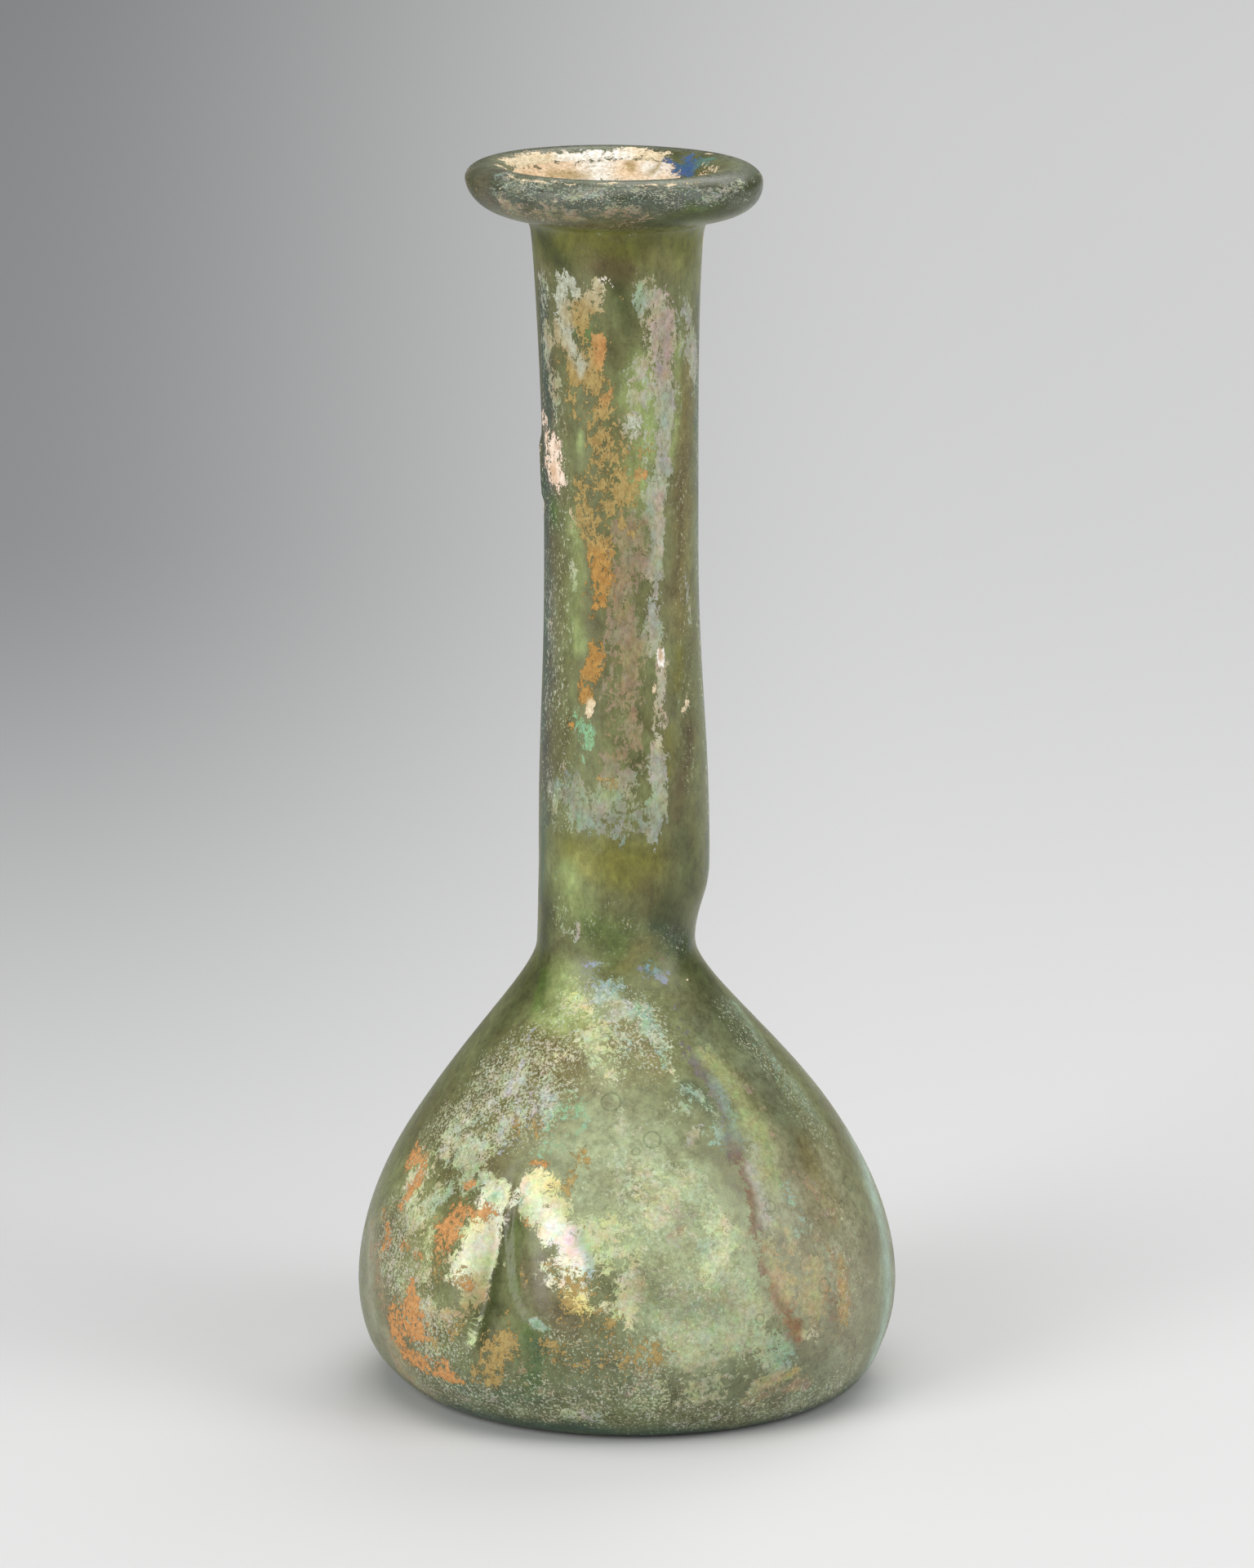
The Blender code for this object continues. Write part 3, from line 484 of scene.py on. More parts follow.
SPECKLE = (
    ("specks on the left shoulder", "speck", 4.4, 0.6, ((-51, 34.5), (-38, 37.5), (-34, 33))),
    ("specks of the left edge of the neck", "speck", 1.6, 0.2,
     ((-65, 117), (-69, 105), (-73, 89), (-68, 74.5), (-72, 61.5))),
    ("specks of the right edge", "speck", 1.2, 0.3, ((77, 111.5), (85, 92.5), (82, 74), (79, 61))),
    ("specks under the rim", "speck", 2, 0.05, ((-32, 121.5), (13, 121), (64, 119.5))),
    ("specks round the waist", "speck", 2.4, 0.13, ((-43, 51.5), (2, 50.5), (50, 49))),
    ("specks of the shoulder", "speck", 4, 0.34, ((-16, 42.5), (10, 41.5), (0, 38))),
    ("specks of the right shoulder", "speck", 3, 0.22, ((66, 40), (68, 34), (66, 28))),
    ("specks of the right flank", "speck", 5, 0.16, ((57, 20.5), (57, 11.5))),
    ("specks of the foot", "speck", 3.4, 0.36,
     ((-53, 3), (-27, 4.5), (-9, 4), (13, 3), (35, 2.5), (57, 2.5))),
    ("specks of the low middle", "speck", 4, 0.28, ((-12, 10.5), (6, 9.5))),
    ("specks of the middle", "speck", 6, 0.22, ((3, 27), (15, 18.5))),
    ("specks of the left flank", "speck", 4, 0.5, ((-66, 19.5), (-53, 14), (-45, 9.5))),
    ("specks of the upper left", "speck", 3.4, 0.45, ((-64, 29.5), (-47, 29.5))),
    ("specks of the rim", "speck", 1.6, 0.3,
     ((-45, 128.8, 14.9), (-20, 128.6, 15.1), (20, 128.6, 15.1), (60, 128.6, 15))),
    ("specks of the rim's underside", "speck", 1, 0.2,
     ((-50, 126.1, 14.6), (-20, 125.2, 13.5), (16, 125, 13.1))),
    ("specks of the rim's right", "speck", 1.2, 0.06, ((55, 129.8, 14.2), (66, 128.7, 15.4))),
    ("specks of the back neck", "speck", 4, 0.3, ((120, 100), (180, 80), (240, 100))),
    ("specks of the back body", "speck", 8, 0.35, ((120, 25), (180, 20), (240, 25))),
    ("specks of the back foot", "speck", 4, 0.45, ((90, 3), (150, 3), (210, 3), (270, 3))),
    ("specks of the rim's back", "speck", 2, 0.4, ((90, 128, 15), (180, 128, 15), (270, 128, 15))),
    ("specks of the neck's left side", "speck", 1.6, 0.22,
     ((-51, 103.5), (-50, 93), (-48, 83), (-48, 72.5), (-50, 62))),
    ("specks of the neck's right side", "speck", 2, 0.14,
     ((52, 108.5), (54, 93), (53, 79.5), (52, 65.5))),
)
CRUST = (
    ("rust, upper neck", "rust_tan", 1.5, 0.78, ((-21, 112), (-24, 110), (-20, 108.5))),
    ("rust, upper neck, warm", "rust", 0.83, 0.77, ((-16, 112.4), (-18, 110.7))),
    ("rust, left arm", "rust_tan", 0.8, 0.7, ((-48, 109.9), (-34, 109.9))),
    ("rust, lower arm", "rust_tan", 1.2, 0.8, ((-36, 108.5), (-18, 108))),
    ("rust spot, first", "rust", 0.53, 0.86, ((-3, 107.5),)),
    ("rust spot, second", "rust", 0.47, 0.86, ((-9, 105.7), (-4, 106.1))),
    ("rust grains, upper", "rust_tan", 1.6, 0.42, ((-11, 107.5), (-18, 105), (-25, 103))),
    ("rust, left patch", "rust_tan", 0.9, 0.75, ((-38, 105.9), (-36, 103.9))),
    ("rust grains, middle", "rust_tan", 1.5, 0.42, ((-4, 105), (-8, 103), (-15, 102))),
    ("rust, second mass", "rust_tan", 1.2, 0.6, ((-1, 102), (12, 102), (17, 101))),
    ("rust, second mass, low", "rust_tan", 1.5, 0.5, ((-8, 100.5), (7, 98.5))),
    ("rust, right spot", "rust", 0.59, 0.77, ((14, 99.1), (17, 98.4))),
    ("rust, third mass", "rust_tan", 1.6, 0.5, ((-28, 97), (-11, 97.5), (4, 97))),
    ("rust, third mass, low", "rust_tan", 1.7, 0.52, ((-24, 93.5), (-11, 95.5), (1, 97))),
    ("rust, fourth mass", "rust_tan", 1.6, 0.74, ((-28, 93.5), (-20, 92), (-15, 91.5))),
    ("ochre tongue", "ochre", 1.2, 0.86, ((-17, 90.5), (-14, 87), (-16, 85))),
    ("rust, fourth mass, right", "rust_tan", 0.71, 0.69, ((2, 93.7), (7, 93))),
    ("ochre drop", "ochre", 0.47, 0.86, ((-21, 83.7), (-21, 83.2))),
    ("ochre spot", "ochre", 0.41, 0.86, ((-24, 80.5), (-19, 80.5))),
    ("ochre tail", "ochre", 0.89, 0.86, ((-17, 80.3), (-23, 78), (-26, 75.5))),
    ("cream tail", "cream", 0.35, 1, ((-22, 74.6), (-28, 73.2))),
    ("ochre bead", "ochre", 0.47, 0.86, ((-40, 72.2),)),
    ("ochre thread", "ochre", 0.35, 0.69, ((-48, 71.5), (-46, 70.5))),
    ("tan beads", "rust_tan", 0.47, 0.6, ((-15, 66.7), (-5, 66))),
    ("tan thread", "rust_tan", 0.3, 0.6, ((-47, 68.2), (-44, 65.5))),
    ("teal-white flake", "flake", 1.1, 0.95, ((-40, 119), (-42, 117))),
    ("cream flake", "flake_cream", 0.95, 0.9, ((-20, 118.3), (-20, 116))),
    ("white edge of the flake", "lime", 0.25, 1, ((-15, 119.1), (-5, 119))),
    ("tan on the flake", "rust_tan", 0.6, 0.55, ((-24, 116), (-18, 115.6))),
    ("lilac flake", "flake", 1.1, 0.8, ((-41, 115), (-42, 113))),
    ("tan on the lilac flake", "rust_tan", 0.59, 0.6, ((-36, 115.2), (-30, 114.4))),
    ("diagonal flake", "flake", 0.6, 0.95, ((-38, 112), (-30, 109.6))),
    ("small orange flakes", "rust_tan", 0.41, 0.77, ((-2, 117),)),
    ("small orange flakes, low", "rust_tan", 0.41, 0.77, ((-10, 114),)),
    ("flake of the middle", "flake", 0.8, 0.8, ((9, 104.6), (10, 103.5))),
    ("white-pink crust, top", "lime_pink", 1.4, 0.78, ((-71, 103), (-59, 101.5))),
    ("white-pink crust", "lime_pink", 1.6, 0.82, ((-68, 100.5), (-63, 99.5), (-57, 98))),
    ("white-pink crust, edge", "cream", 0.7, 1, ((-87, 99.5), (-88, 95.7), (-85, 93.9))),
    ("orange in the pink crust", "rust", 0.59, 0.69, ((-59, 98.6),)),
    ("pale grain", "flake", 0.4, 0.7, ((-45, 98),)),
    ("pale streak under the crust", "flake_cream", 0.5, 0.5, ((-44, 95.3), (-42, 92.8))),
    ("white flake on the strip", "lime", 0.4, 1, ((29, 79.8), (28, 78))),
    ("orange core of the flake", "ochre", 0.24, 0.86, ((29, 79.5), (29, 78.7))),
    ("cream dot", "cream", 0.35, 1, ((22, 76.2),)),
    ("cream slanting flake", "cream", 0.5, 1, ((55, 73.6), (49, 72.8))),
    ("tail of the slanting flake", "cream", 0.22, 1, ((44, 72.2), (39, 71.2))),
    ("cream chip at the pinch", "cream", 0.3, 1, ((51, 44.3),)),
    ("cream on the collar's right", "cream", 0.4, 1, ((86, 122.9), (86, 121.5))),
    ("pale chips of the right edge", "cream", 0.3, 0.7, ((72, 112), (82, 109.2))),
    ("tan grains, upper body", "rust_tan", 0.71, 0.65, ((-34, 32), (-30, 31.2))),
    ("tan grains, second", "rust_tan", 0.65, 0.65, ((-27, 33.2), (-26, 31.4))),
    ("rust grain over the dent", "rust", 0.47, 0.73, ((-25, 28.3), (-22, 28.1))),
    ("tan patch, upper", "rust_tan", 0.89, 0.62, ((-13, 29.6), (-12, 28.5))),
    ("tan patch, second", "rust_tan", 0.71, 0.66, ((-15, 27.4), (-15, 26.3))),
    ("rust by the flakes", "rust", 0.53, 0.78, ((-44, 26.3), (-42, 25.8))),
    ("rust on the far left, top", "rust", 0.81, 0.62, ((-72, 27.8), (-71, 27))),
    ("rust on the far left", "rust", 1.1, 0.66, ((-70, 26), (-64, 26.5), (-62, 25))),
    ("rust on the far left, middle", "rust", 0.88, 0.66, ((-63, 23.8), (-65, 21.6))),
    ("rust on the left edge", "rust", 1.2, 0.58, ((-71, 20), (-66, 18.5), (-66, 17))),
    ("rust spots, left", "rust", 0.89, 0.73, ((-57, 18.7), (-59, 18))),
    ("rust spots, second", "rust", 0.89, 0.73, ((-52, 18.2), (-51, 18))),
    ("rust mass, left", "rust", 1.4, 0.81, ((-42, 23), (-44, 21.5), (-44, 20))),
    ("rust mass, arm", "rust", 1.1, 0.81, ((-42, 21), (-39, 22.5), (-36, 23))),
    ("rust mass, west arm", "rust", 0.89, 0.73, ((-49, 21.6), (-45, 21.2))),
    ("rust thread, left", "rust_tan", 0.66, 0.62, ((-46, 18.7), (-44, 16.4))),
    ("rust grains by the pearl", "rust_tan", 0.9, 0.45, ((-40, 16.9), (-36, 16.2))),
    ("rust by the beige pearl", "rust", 0.53, 0.73, ((-37, 16.4), (-36, 15.7))),
    ("rust low left, top", "rust", 1.1, 0.78, ((-53, 15), (-51, 13))),
    ("rust low left", "rust", 1.7, 0.81, ((-53, 12), (-57, 10), (-50, 10.5))),
    ("rust heel, left", "rust", 1.2, 0.81, ((-59, 9), (-57, 7))),
    ("rust heel", "rust", 1.2, 0.78, ((-54, 6.5), (-48, 6.5), (-42, 6))),
    ("rust heel, end", "rust", 1, 0.78, ((-43, 7), (-40, 5.5))),
    ("rust thread over the heel", "rust_tan", 0.59, 0.65, ((-41, 10.1), (-37, 11.5))),
    ("rust knot", "rust_tan", 0.89, 0.65, ((-44, 9.4),)),
    ("rust in the dent", "rust_tan", 0.96, 0.78, ((-30, 15.4), (-28, 14.4))),
    ("rust in the dent, arm", "rust_tan", 0.59, 0.69, ((-26, 14.4), (-24, 13.9))),
    ("rust under the dent", "rust_tan", 0.89, 0.78, ((-27, 13.1), (-27, 11.2))),
    ("rust under the dent, mass", "rust_tan", 1.7, 0.81, ((-27, 10.5), (-30, 9), (-29, 7.5))),
    ("rust under the dent, foot", "rust_tan", 1.2, 0.81, ((-34, 7), (-30, 6.5))),
    ("rust by the ridge", "rust", 0.41, 0.73, ((-24, 23.8),)),
    ("rust by the ridge, low", "rust", 0.41, 0.73, ((-24, 22.6),)),
    ("rust right of the ridge", "rust_tan", 0.73, 0.66, ((-24, 19.2), (-22, 17.7))),
    ("ochre in the lower pearl", "ochre", 0.53, 0.65, ((-12, 17.7),)),
    ("tan by the pearl", "rust_tan", 0.59, 0.66, ((-10, 23.8), (-10, 23.3))),
    ("tan grains round the lower pearl", "rust_tan", 1.8, 0.45, ((-8, 16.5), (-14, 18.5), (-12, 14.5))),
    ("tan patch of the foot", "rust_tan", 1, 0.65, ((-18, 11), (-16, 10))),
    ("tan grains of the foot", "rust_tan", 2.2, 0.34, ((-5, 12.5), (-12, 9.5), (6, 10.5))),
    ("tan beads of the foot", "rust_tan", 0.53, 0.65, ((-3, 13.9), (-2, 14.4))),
    ("tan beads, second", "rust_tan", 0.41, 0.65, ((6, 10.9), (7, 10.7))),
    ("cream chip by the dent", "cream", 0.35, 1, ((-30, 24.5),)),
    ("brown dash, left", "umber", 0.3, 0.9, ((18, 12.5), (19, 12.3))),
    ("brown dash, right", "umber", 0.3, 0.9, ((22, 12.3), (23, 12.5))),
    ("cream lip", "cream", 0.35, 0.85,
     ((-55, 129.9, 13.8), (-35, 129.6, 14.5), (-17, 129.6, 14.5), (3, 129.7, 14.3))),
    ("cream lip, right", "cream", 0.35, 0.75, ((6, 129.7, 14.4), (24, 129.7, 14.4), (37, 129.9, 13.7))),
    ("orange bead of the rim", "rust_pale", 0.28, 1, ((-31, 127.6, 15.4),)),
    ("orange beads, left", "rust_pale", 0.25, 0.9, ((-51, 127.2, 15.3),)),
    ("grains on the rim", "cream", 1.2, 0.1, ((-48, 129, 14.7), (-10, 128.9, 14.9), (30, 129, 14.7))),
    ("grains on the rim, left", "cream", 0.8, 0.14, ((-50, 128.9, 15.3), (-37, 128.5, 15.5))),
    ("grains on the rim's right", "cream", 0.9, 0.04, ((60, 129.7, 14.4), (70, 128.5, 15.4))),
    ("cream of the rim's back left", "cream", 1.2, 1,
     ((-104, 129.1, 10.8), (-125, 129.2, 10.9), (-150, 129.2, 10.9))),
    ("cream of the rim's back right", "cream", 1.1, 1,
     ((174, 129.3, 11), (160, 129.3, 11), (151, 129.1, 10.8))),
    ("crumbs of the mouth's right", "cream", 0.8, 0.6,
     ((118, 128.6, 10.5), (96, 128.8, 10.6), (70, 129.2, 11))),
    ("cream fan of the rim's left", "cream", 0.9, 0.6, ((-82, 129.8, 12), (-70, 129.7, 11.6))),
    ("crack of the rim's back", "cream", 0.25, 0.9, ((128, 129.9, 12.2), (116, 129.9, 13.2))),
    ("rust of the back neck", "rust_tan", 1.4, 0.9, ((215, 104), (220, 96), (214, 90))),
    ("rust grains of the back neck", "rust_tan", 2, 0.5, ((140, 100), (136, 92))),
    ("ochre of the back neck", "ochre", 0.8, 0.9, ((190, 82), (192, 76))),
    ("lime of the back neck", "lime_pink", 1.1, 0.9, ((262, 100), (266, 94))),
    ("rust of the back body", "rust", 1.3, 0.9, ((225, 20), (232, 14), (228, 9))),
    ("rust grains of the back body", "rust", 2.6, 0.45, ((150, 30), (165, 24))),
    ("rust of the back heel", "rust", 1.1, 0.95, ((262, 8), (250, 5), (238, 4))),
    ("tan of the back shoulder", "rust_tan", 1.2, 0.8, ((205, 36), (210, 32))),
    ("cream chips of the back", "cream", 0.7, 0.8, ((125, 40), (129, 37))),
    ("rust of the right side", "rust_tan", 1, 0.7, ((98, 18), (104, 13))),
    ("grains of the right side", "rust_tan", 3, 0.3, ((95, 26), (110, 10))),
    ("lime of the rim's back", "lime", 1.05, 1, ((-152, 129.2, 10.9), (-168, 129.2, 10.9))),
    ("lime of the rim's back middle", "lime", 0.95, 0.95, ((192, 129.1, 10.8), (176, 129.1, 10.8))),
    ("crumbs of the lip", "cream", 0.6, 0.6,
     ((-60, 129.2, 10.9), (-40, 129, 10.7), (-10, 129, 10.7), (30, 129, 10.7))),
    ("tan film of the rim's left", "rust_tan", 0.8, 0.3, ((-80, 128, 15.3), (-60, 127.6, 15.4))),
    ("tan of the upper flake", "rust_tan", 0.83, 0.6, ((-24, 116.5), (-19, 115.6))),
    ("teal-white flake, low", "flake", 0.9, 0.7, ((-39, 116.7), (-38, 115.4))),
    ("teal-white flake, right", "flake", 0.6, 0.65, ((-33, 118.7), (-31, 117.3))),
    ("tan patch of the upper neck", "rust_tan", 1, 0.5, ((-34, 116), (-25, 114.5))),
    ("tan patch of the upper neck, left", "rust_tan", 0.8, 0.55, ((-45, 113.9), (-42, 111.9))),
)
MOUTH = (
    ("lime of the mouth", "lime", 2.4, 1, ((202, 127.2, 10), (188, 127.2, 10), (172, 127.2, 10))),
    ("lime of the throat", "lime", 4.2, 1,
     ((90, 121.5, 8), (180, 121.5, 8), (270, 121.5, 8), (360, 121.5, 8))),
    ("pale rust of the mouth's left", "rust_pale", 2.2, 1,
     ((-96, 127.8, 10.2), (-120, 127.6, 10.1), (-148, 127.4, 10.1))),
    ("brown spots of the mouth's left", "rust_tan", 0.6, 0.8,
     ((-138, 127.7, 10.1), (-150, 127.3, 10), (-160, 127.2, 10))),
    ("pale rust of the mouth's right", "rust_pale", 2.2, 1,
     ((172, 127.4, 10.1), (158, 127.4, 10.1), (149, 127, 10))),
    ("pink lime of the mouth's right", "lime", 1.1, 0.9, ((160, 127.7, 10.1), (146, 127.6, 10.1))),
    ("brown spots of the mouth's right", "rust_tan", 0.45, 0.8,
     ((173, 128.4, 10.3), (170, 127.6, 10.1))),
    ("orange fringe of the mouth's right", "rust_pale", 1, 1,
     ((146, 126.8, 9.9), (126, 127, 10), (106, 127.4, 10.1))),
    ("ochre spots of the mouth's left", "ochre", 0.5, 0.6, ((-114, 127.8, 10.2), (-126, 127.7, 10.1))),
    ("brown spot of the mouth's right", "rust_tan", 0.4, 0.8, ((158, 127.3, 10), (152, 128.3, 10.3))),
)

STROKES = {"ground": GROUND, "pearl": PEARL_AND_HIGHLIGHTS, "film": FILM, "speckle": SPECKLE, "crust": CRUST}

# A stroke's line bends with the wall at least this often, in degrees and in height.
STEP_ROUND = 10
STEP_UP = 5 * MM

# In half widths: how far a stroke covers fully, how far it then fades out, and how far from it
# nothing more is looked for.
FULL_REACH = 0.1
FADE_REACH = 1.6
FARTHEST_REACH = 3

# The strokes' edges wander by two waves, each with its length and how far it strays. Blender's
# noise vectors differ from run to run unless a seed is set.
STRAY_WAVES = ((5.0 * MM, 0.9 * MM), (1.6 * MM, 0.5 * MM))
STRAY_SEED = 7

# What counts as the inner wall: so far in from the outside, and at the rim so far out from its
# inner edge and so far in from the collar, with a slope of this height between the two.
INNER_DEPTH = 1.0 * MM
LIP_MARGIN = 0.2 * MM
FUNNEL_MARGIN = 0.4 * MM
FUNNEL_DROP = 0.5 * MM
FUNNEL_RISE = 3 * MM

# Least values that keep a division by a length, its square or a share of cover from failing.
LEAST_LENGTH = 1e-9
LEAST_SQUARE = 1e-12
LEAST_COVER = 1e-6

# Seeds, the round bubbles in the wall: degrees round it, mm up and radius in mm.
BUBBLES = (
    (-4, 34.6, 1.0),
    (8, 31.2, 0.9),
    (37, 24.0, 0.6),
    (68, 23.5, 0.8),
    (47, 15.2, 0.8),
    (3, 30.2, 0.4),
    (29, 13.3, 0.5),
    (61, 22.1, 0.4),
)

# Low relief, pressed in or raised: what it is, how far it rises in millimetres, half its width
# in millimetres, and its places as degrees and millimetres up.
RELIEF = (
    ("left groove of the dent", -0.55, 0.9,
     ((-28.5, 27), (-32.4, 23.6), (-32.7, 19), (-33.5, 14), (-35, 10.5))),
    ("right groove of the dent", -0.45, 0.6,
     ((-28, 25.5), (-28, 22.5), (-26, 18.6), (-24.5, 16), (-21, 14))),
    ("ridge of the dent", 0.4, 0.45,
     ((-28.3, 27.5), (-29.5, 24.6), (-30.4, 22.8), (-29.6, 21), (-27.7, 18.3), (-26.1, 16),
      (-23.3, 14.3), (-20, 13.2))),
    ("left lip of the dent", 0.3, 2.2, ((-38, 24), (-39, 19), (-40, 14))),
    ("right lip of the dent", 0.35, 2.4, ((-24, 25), (-20, 20), (-17, 16))),
    ("pink crust of the neck", 0.3, 0.9, ((-66, 101.5), (-68, 99.5), (-60, 98))),
    ("edge of the pink crust", 0.35, 0.6, ((-84, 101), (-82, 97), (-78, 95.5))),
    ("crease by the pinch", -0.3, 0.7, ((46, 49.6), (58, 48.4))),
    ("swelling over the pinch", 0.2, 2.0, ((60, 57), (70, 54))),
    ("fold of the left shoulder", -0.12, 0.8, ((-70, 46), (-52, 40))),
)

# The heights at which the neck and the rim start. A pattern sees the neck's height times
# NECK_DRAWN, so it is longer than wide there, and the rim's times RIM_ROLLED more, so it is
# wider than high there.
NECK_FOOT = 50 * MM
NECK_DRAWN = 0.62
RIM_FOOT = 124 * MM
RIM_ROLLED = 1.6

# Most of a noise's values lie between these. A cluster is made a little softer.
NOISE_LOW = 0.36
NOISE_HIGH = 0.64
CLUSTER_LOW = 0.34
CLUSTER_HIGH = 0.66

# How much cover it takes to close a layer's last gap, and how rough the bare glass is at its
# smoothest and roughest.
BARE = 1.06
SMOOTHEST = 0.22
ROUGHEST = 0.42

# The skin's relief: the depth of its pits in millimetres, how far a seed's ring rises in
# millimetres, and how far from the ring's middle line it goes.
PIT_DEPTH = 0.05
RING_RISE = 0.03
RING_WIDTH = 0.10 * MM

# The place in the body that the soft boxes are aimed at.
BODY_MIDDLE = (0, 0, 0.05)

# The photograph's view: how far the camera stands off, how high it is, how far it looks down in
# radians, and its focal length in pixels of the photograph, which is so many pixels high.
CAMERA_DISTANCE = 0.800
CAMERA_HEIGHT = 0.24481
CAMERA_PITCH = 0.2219
PHOTO_FOCUS = 9573.5
PHOTO_HEIGHT = 1920
SENSOR = 36.0


def linear(hex_colour):
    """An sRGB hex colour as linear red, green and blue."""
    channels = [int(hex_colour[place : place + 2], 16) / 255 for place in (1, 3, 5)]
    return tuple(c / 12.92 if c <= 0.04045 else ((c + 0.055) / 1.055) ** 2.4 for c in channels)


def length(name, description, millimetres):
    """A size in metres that a user can change."""
    return FloatProperty(name=name, description=description, default=millimetres * MM, unit="LENGTH")


def colour(name, description, hex_colour):
    """A colour that a user can change."""
    return FloatVectorProperty(
        name=name,
        description=description,
        default=linear(hex_colour),
        subtype="COLOR",
        min=0.0,
        max=1.0,
    )


class UnguentariumSizes(PropertyGroup):
    """The bottle's sizes."""

    total_height: length("Height", "Height of the whole bottle", 130)
    rim_thickness: length("Rim Thickness", "Height of the rolled rim", 5.6)
    rim_crown: length("Rim Crown", "How far the rim rises above its widest level", 1.85)
    neck_length: length("Neck Length", "From the waist up to the underside of the rim", 76.7)
    narrow_rise: length("Narrow Rise", "From the waist up to the neck's thinnest place", 42.8)
    bulb_rise: length("Bulb Rise", "From the waist up to the swelling above it", 8.6)
    belly_height: length("Belly Height", "Height of the widest place", 10.4)
    foot_radius: length("Foot Radius", "Radius of the ring that it stands on", 22.6)
    belly_radius: length("Belly Radius", "Radius at the widest place", 28.65)
    waist_radius: length("Waist Radius", "Radius where the neck meets the body", 8.3)
    bulb_radius: length("Bulb Radius", "Radius of the swelling above the waist", 9.0)
    narrow_radius: length("Narrow Radius", "Radius at the neck's thinnest place", 8.05)
    collar_radius: length("Collar Radius", "Radius of the neck under the rim", 9.1)
    rim_radius: length("Rim Radius", "Outer radius of the rim", 15.5)
    rim_width: length("Rim Width", "From the rim's outer edge to its inner one", 5.2)
    rim_fillet: length("Rim Fillet", "Fillet between the neck and the rim", 0.7)
    floor_thickness: length("Floor", "Thickness of the glass at the foot", 3.0)
    body_wall: length("Body Wall", "Thickness of the glass at the belly", 1.8)
    neck_wall: length("Neck Wall", "Thickness of the glass in the neck", 1.9)
    mouth_depth: length("Mouth Depth", "How far down the funnel of the mouth goes", 10.0)
    stand_inner_radius: length("Stand Ring", "Inner radius of the ring that it stands on", 14.0)
    hollow_rise: length("Hollow", "How far the underside is hollowed", 0.8)
    dent_depth: length("Dent", "Depth of the dent in the flank", 1.3)
    pinch_depth: length("Pinch", "Depth of the pinch in the waist", 0.6)


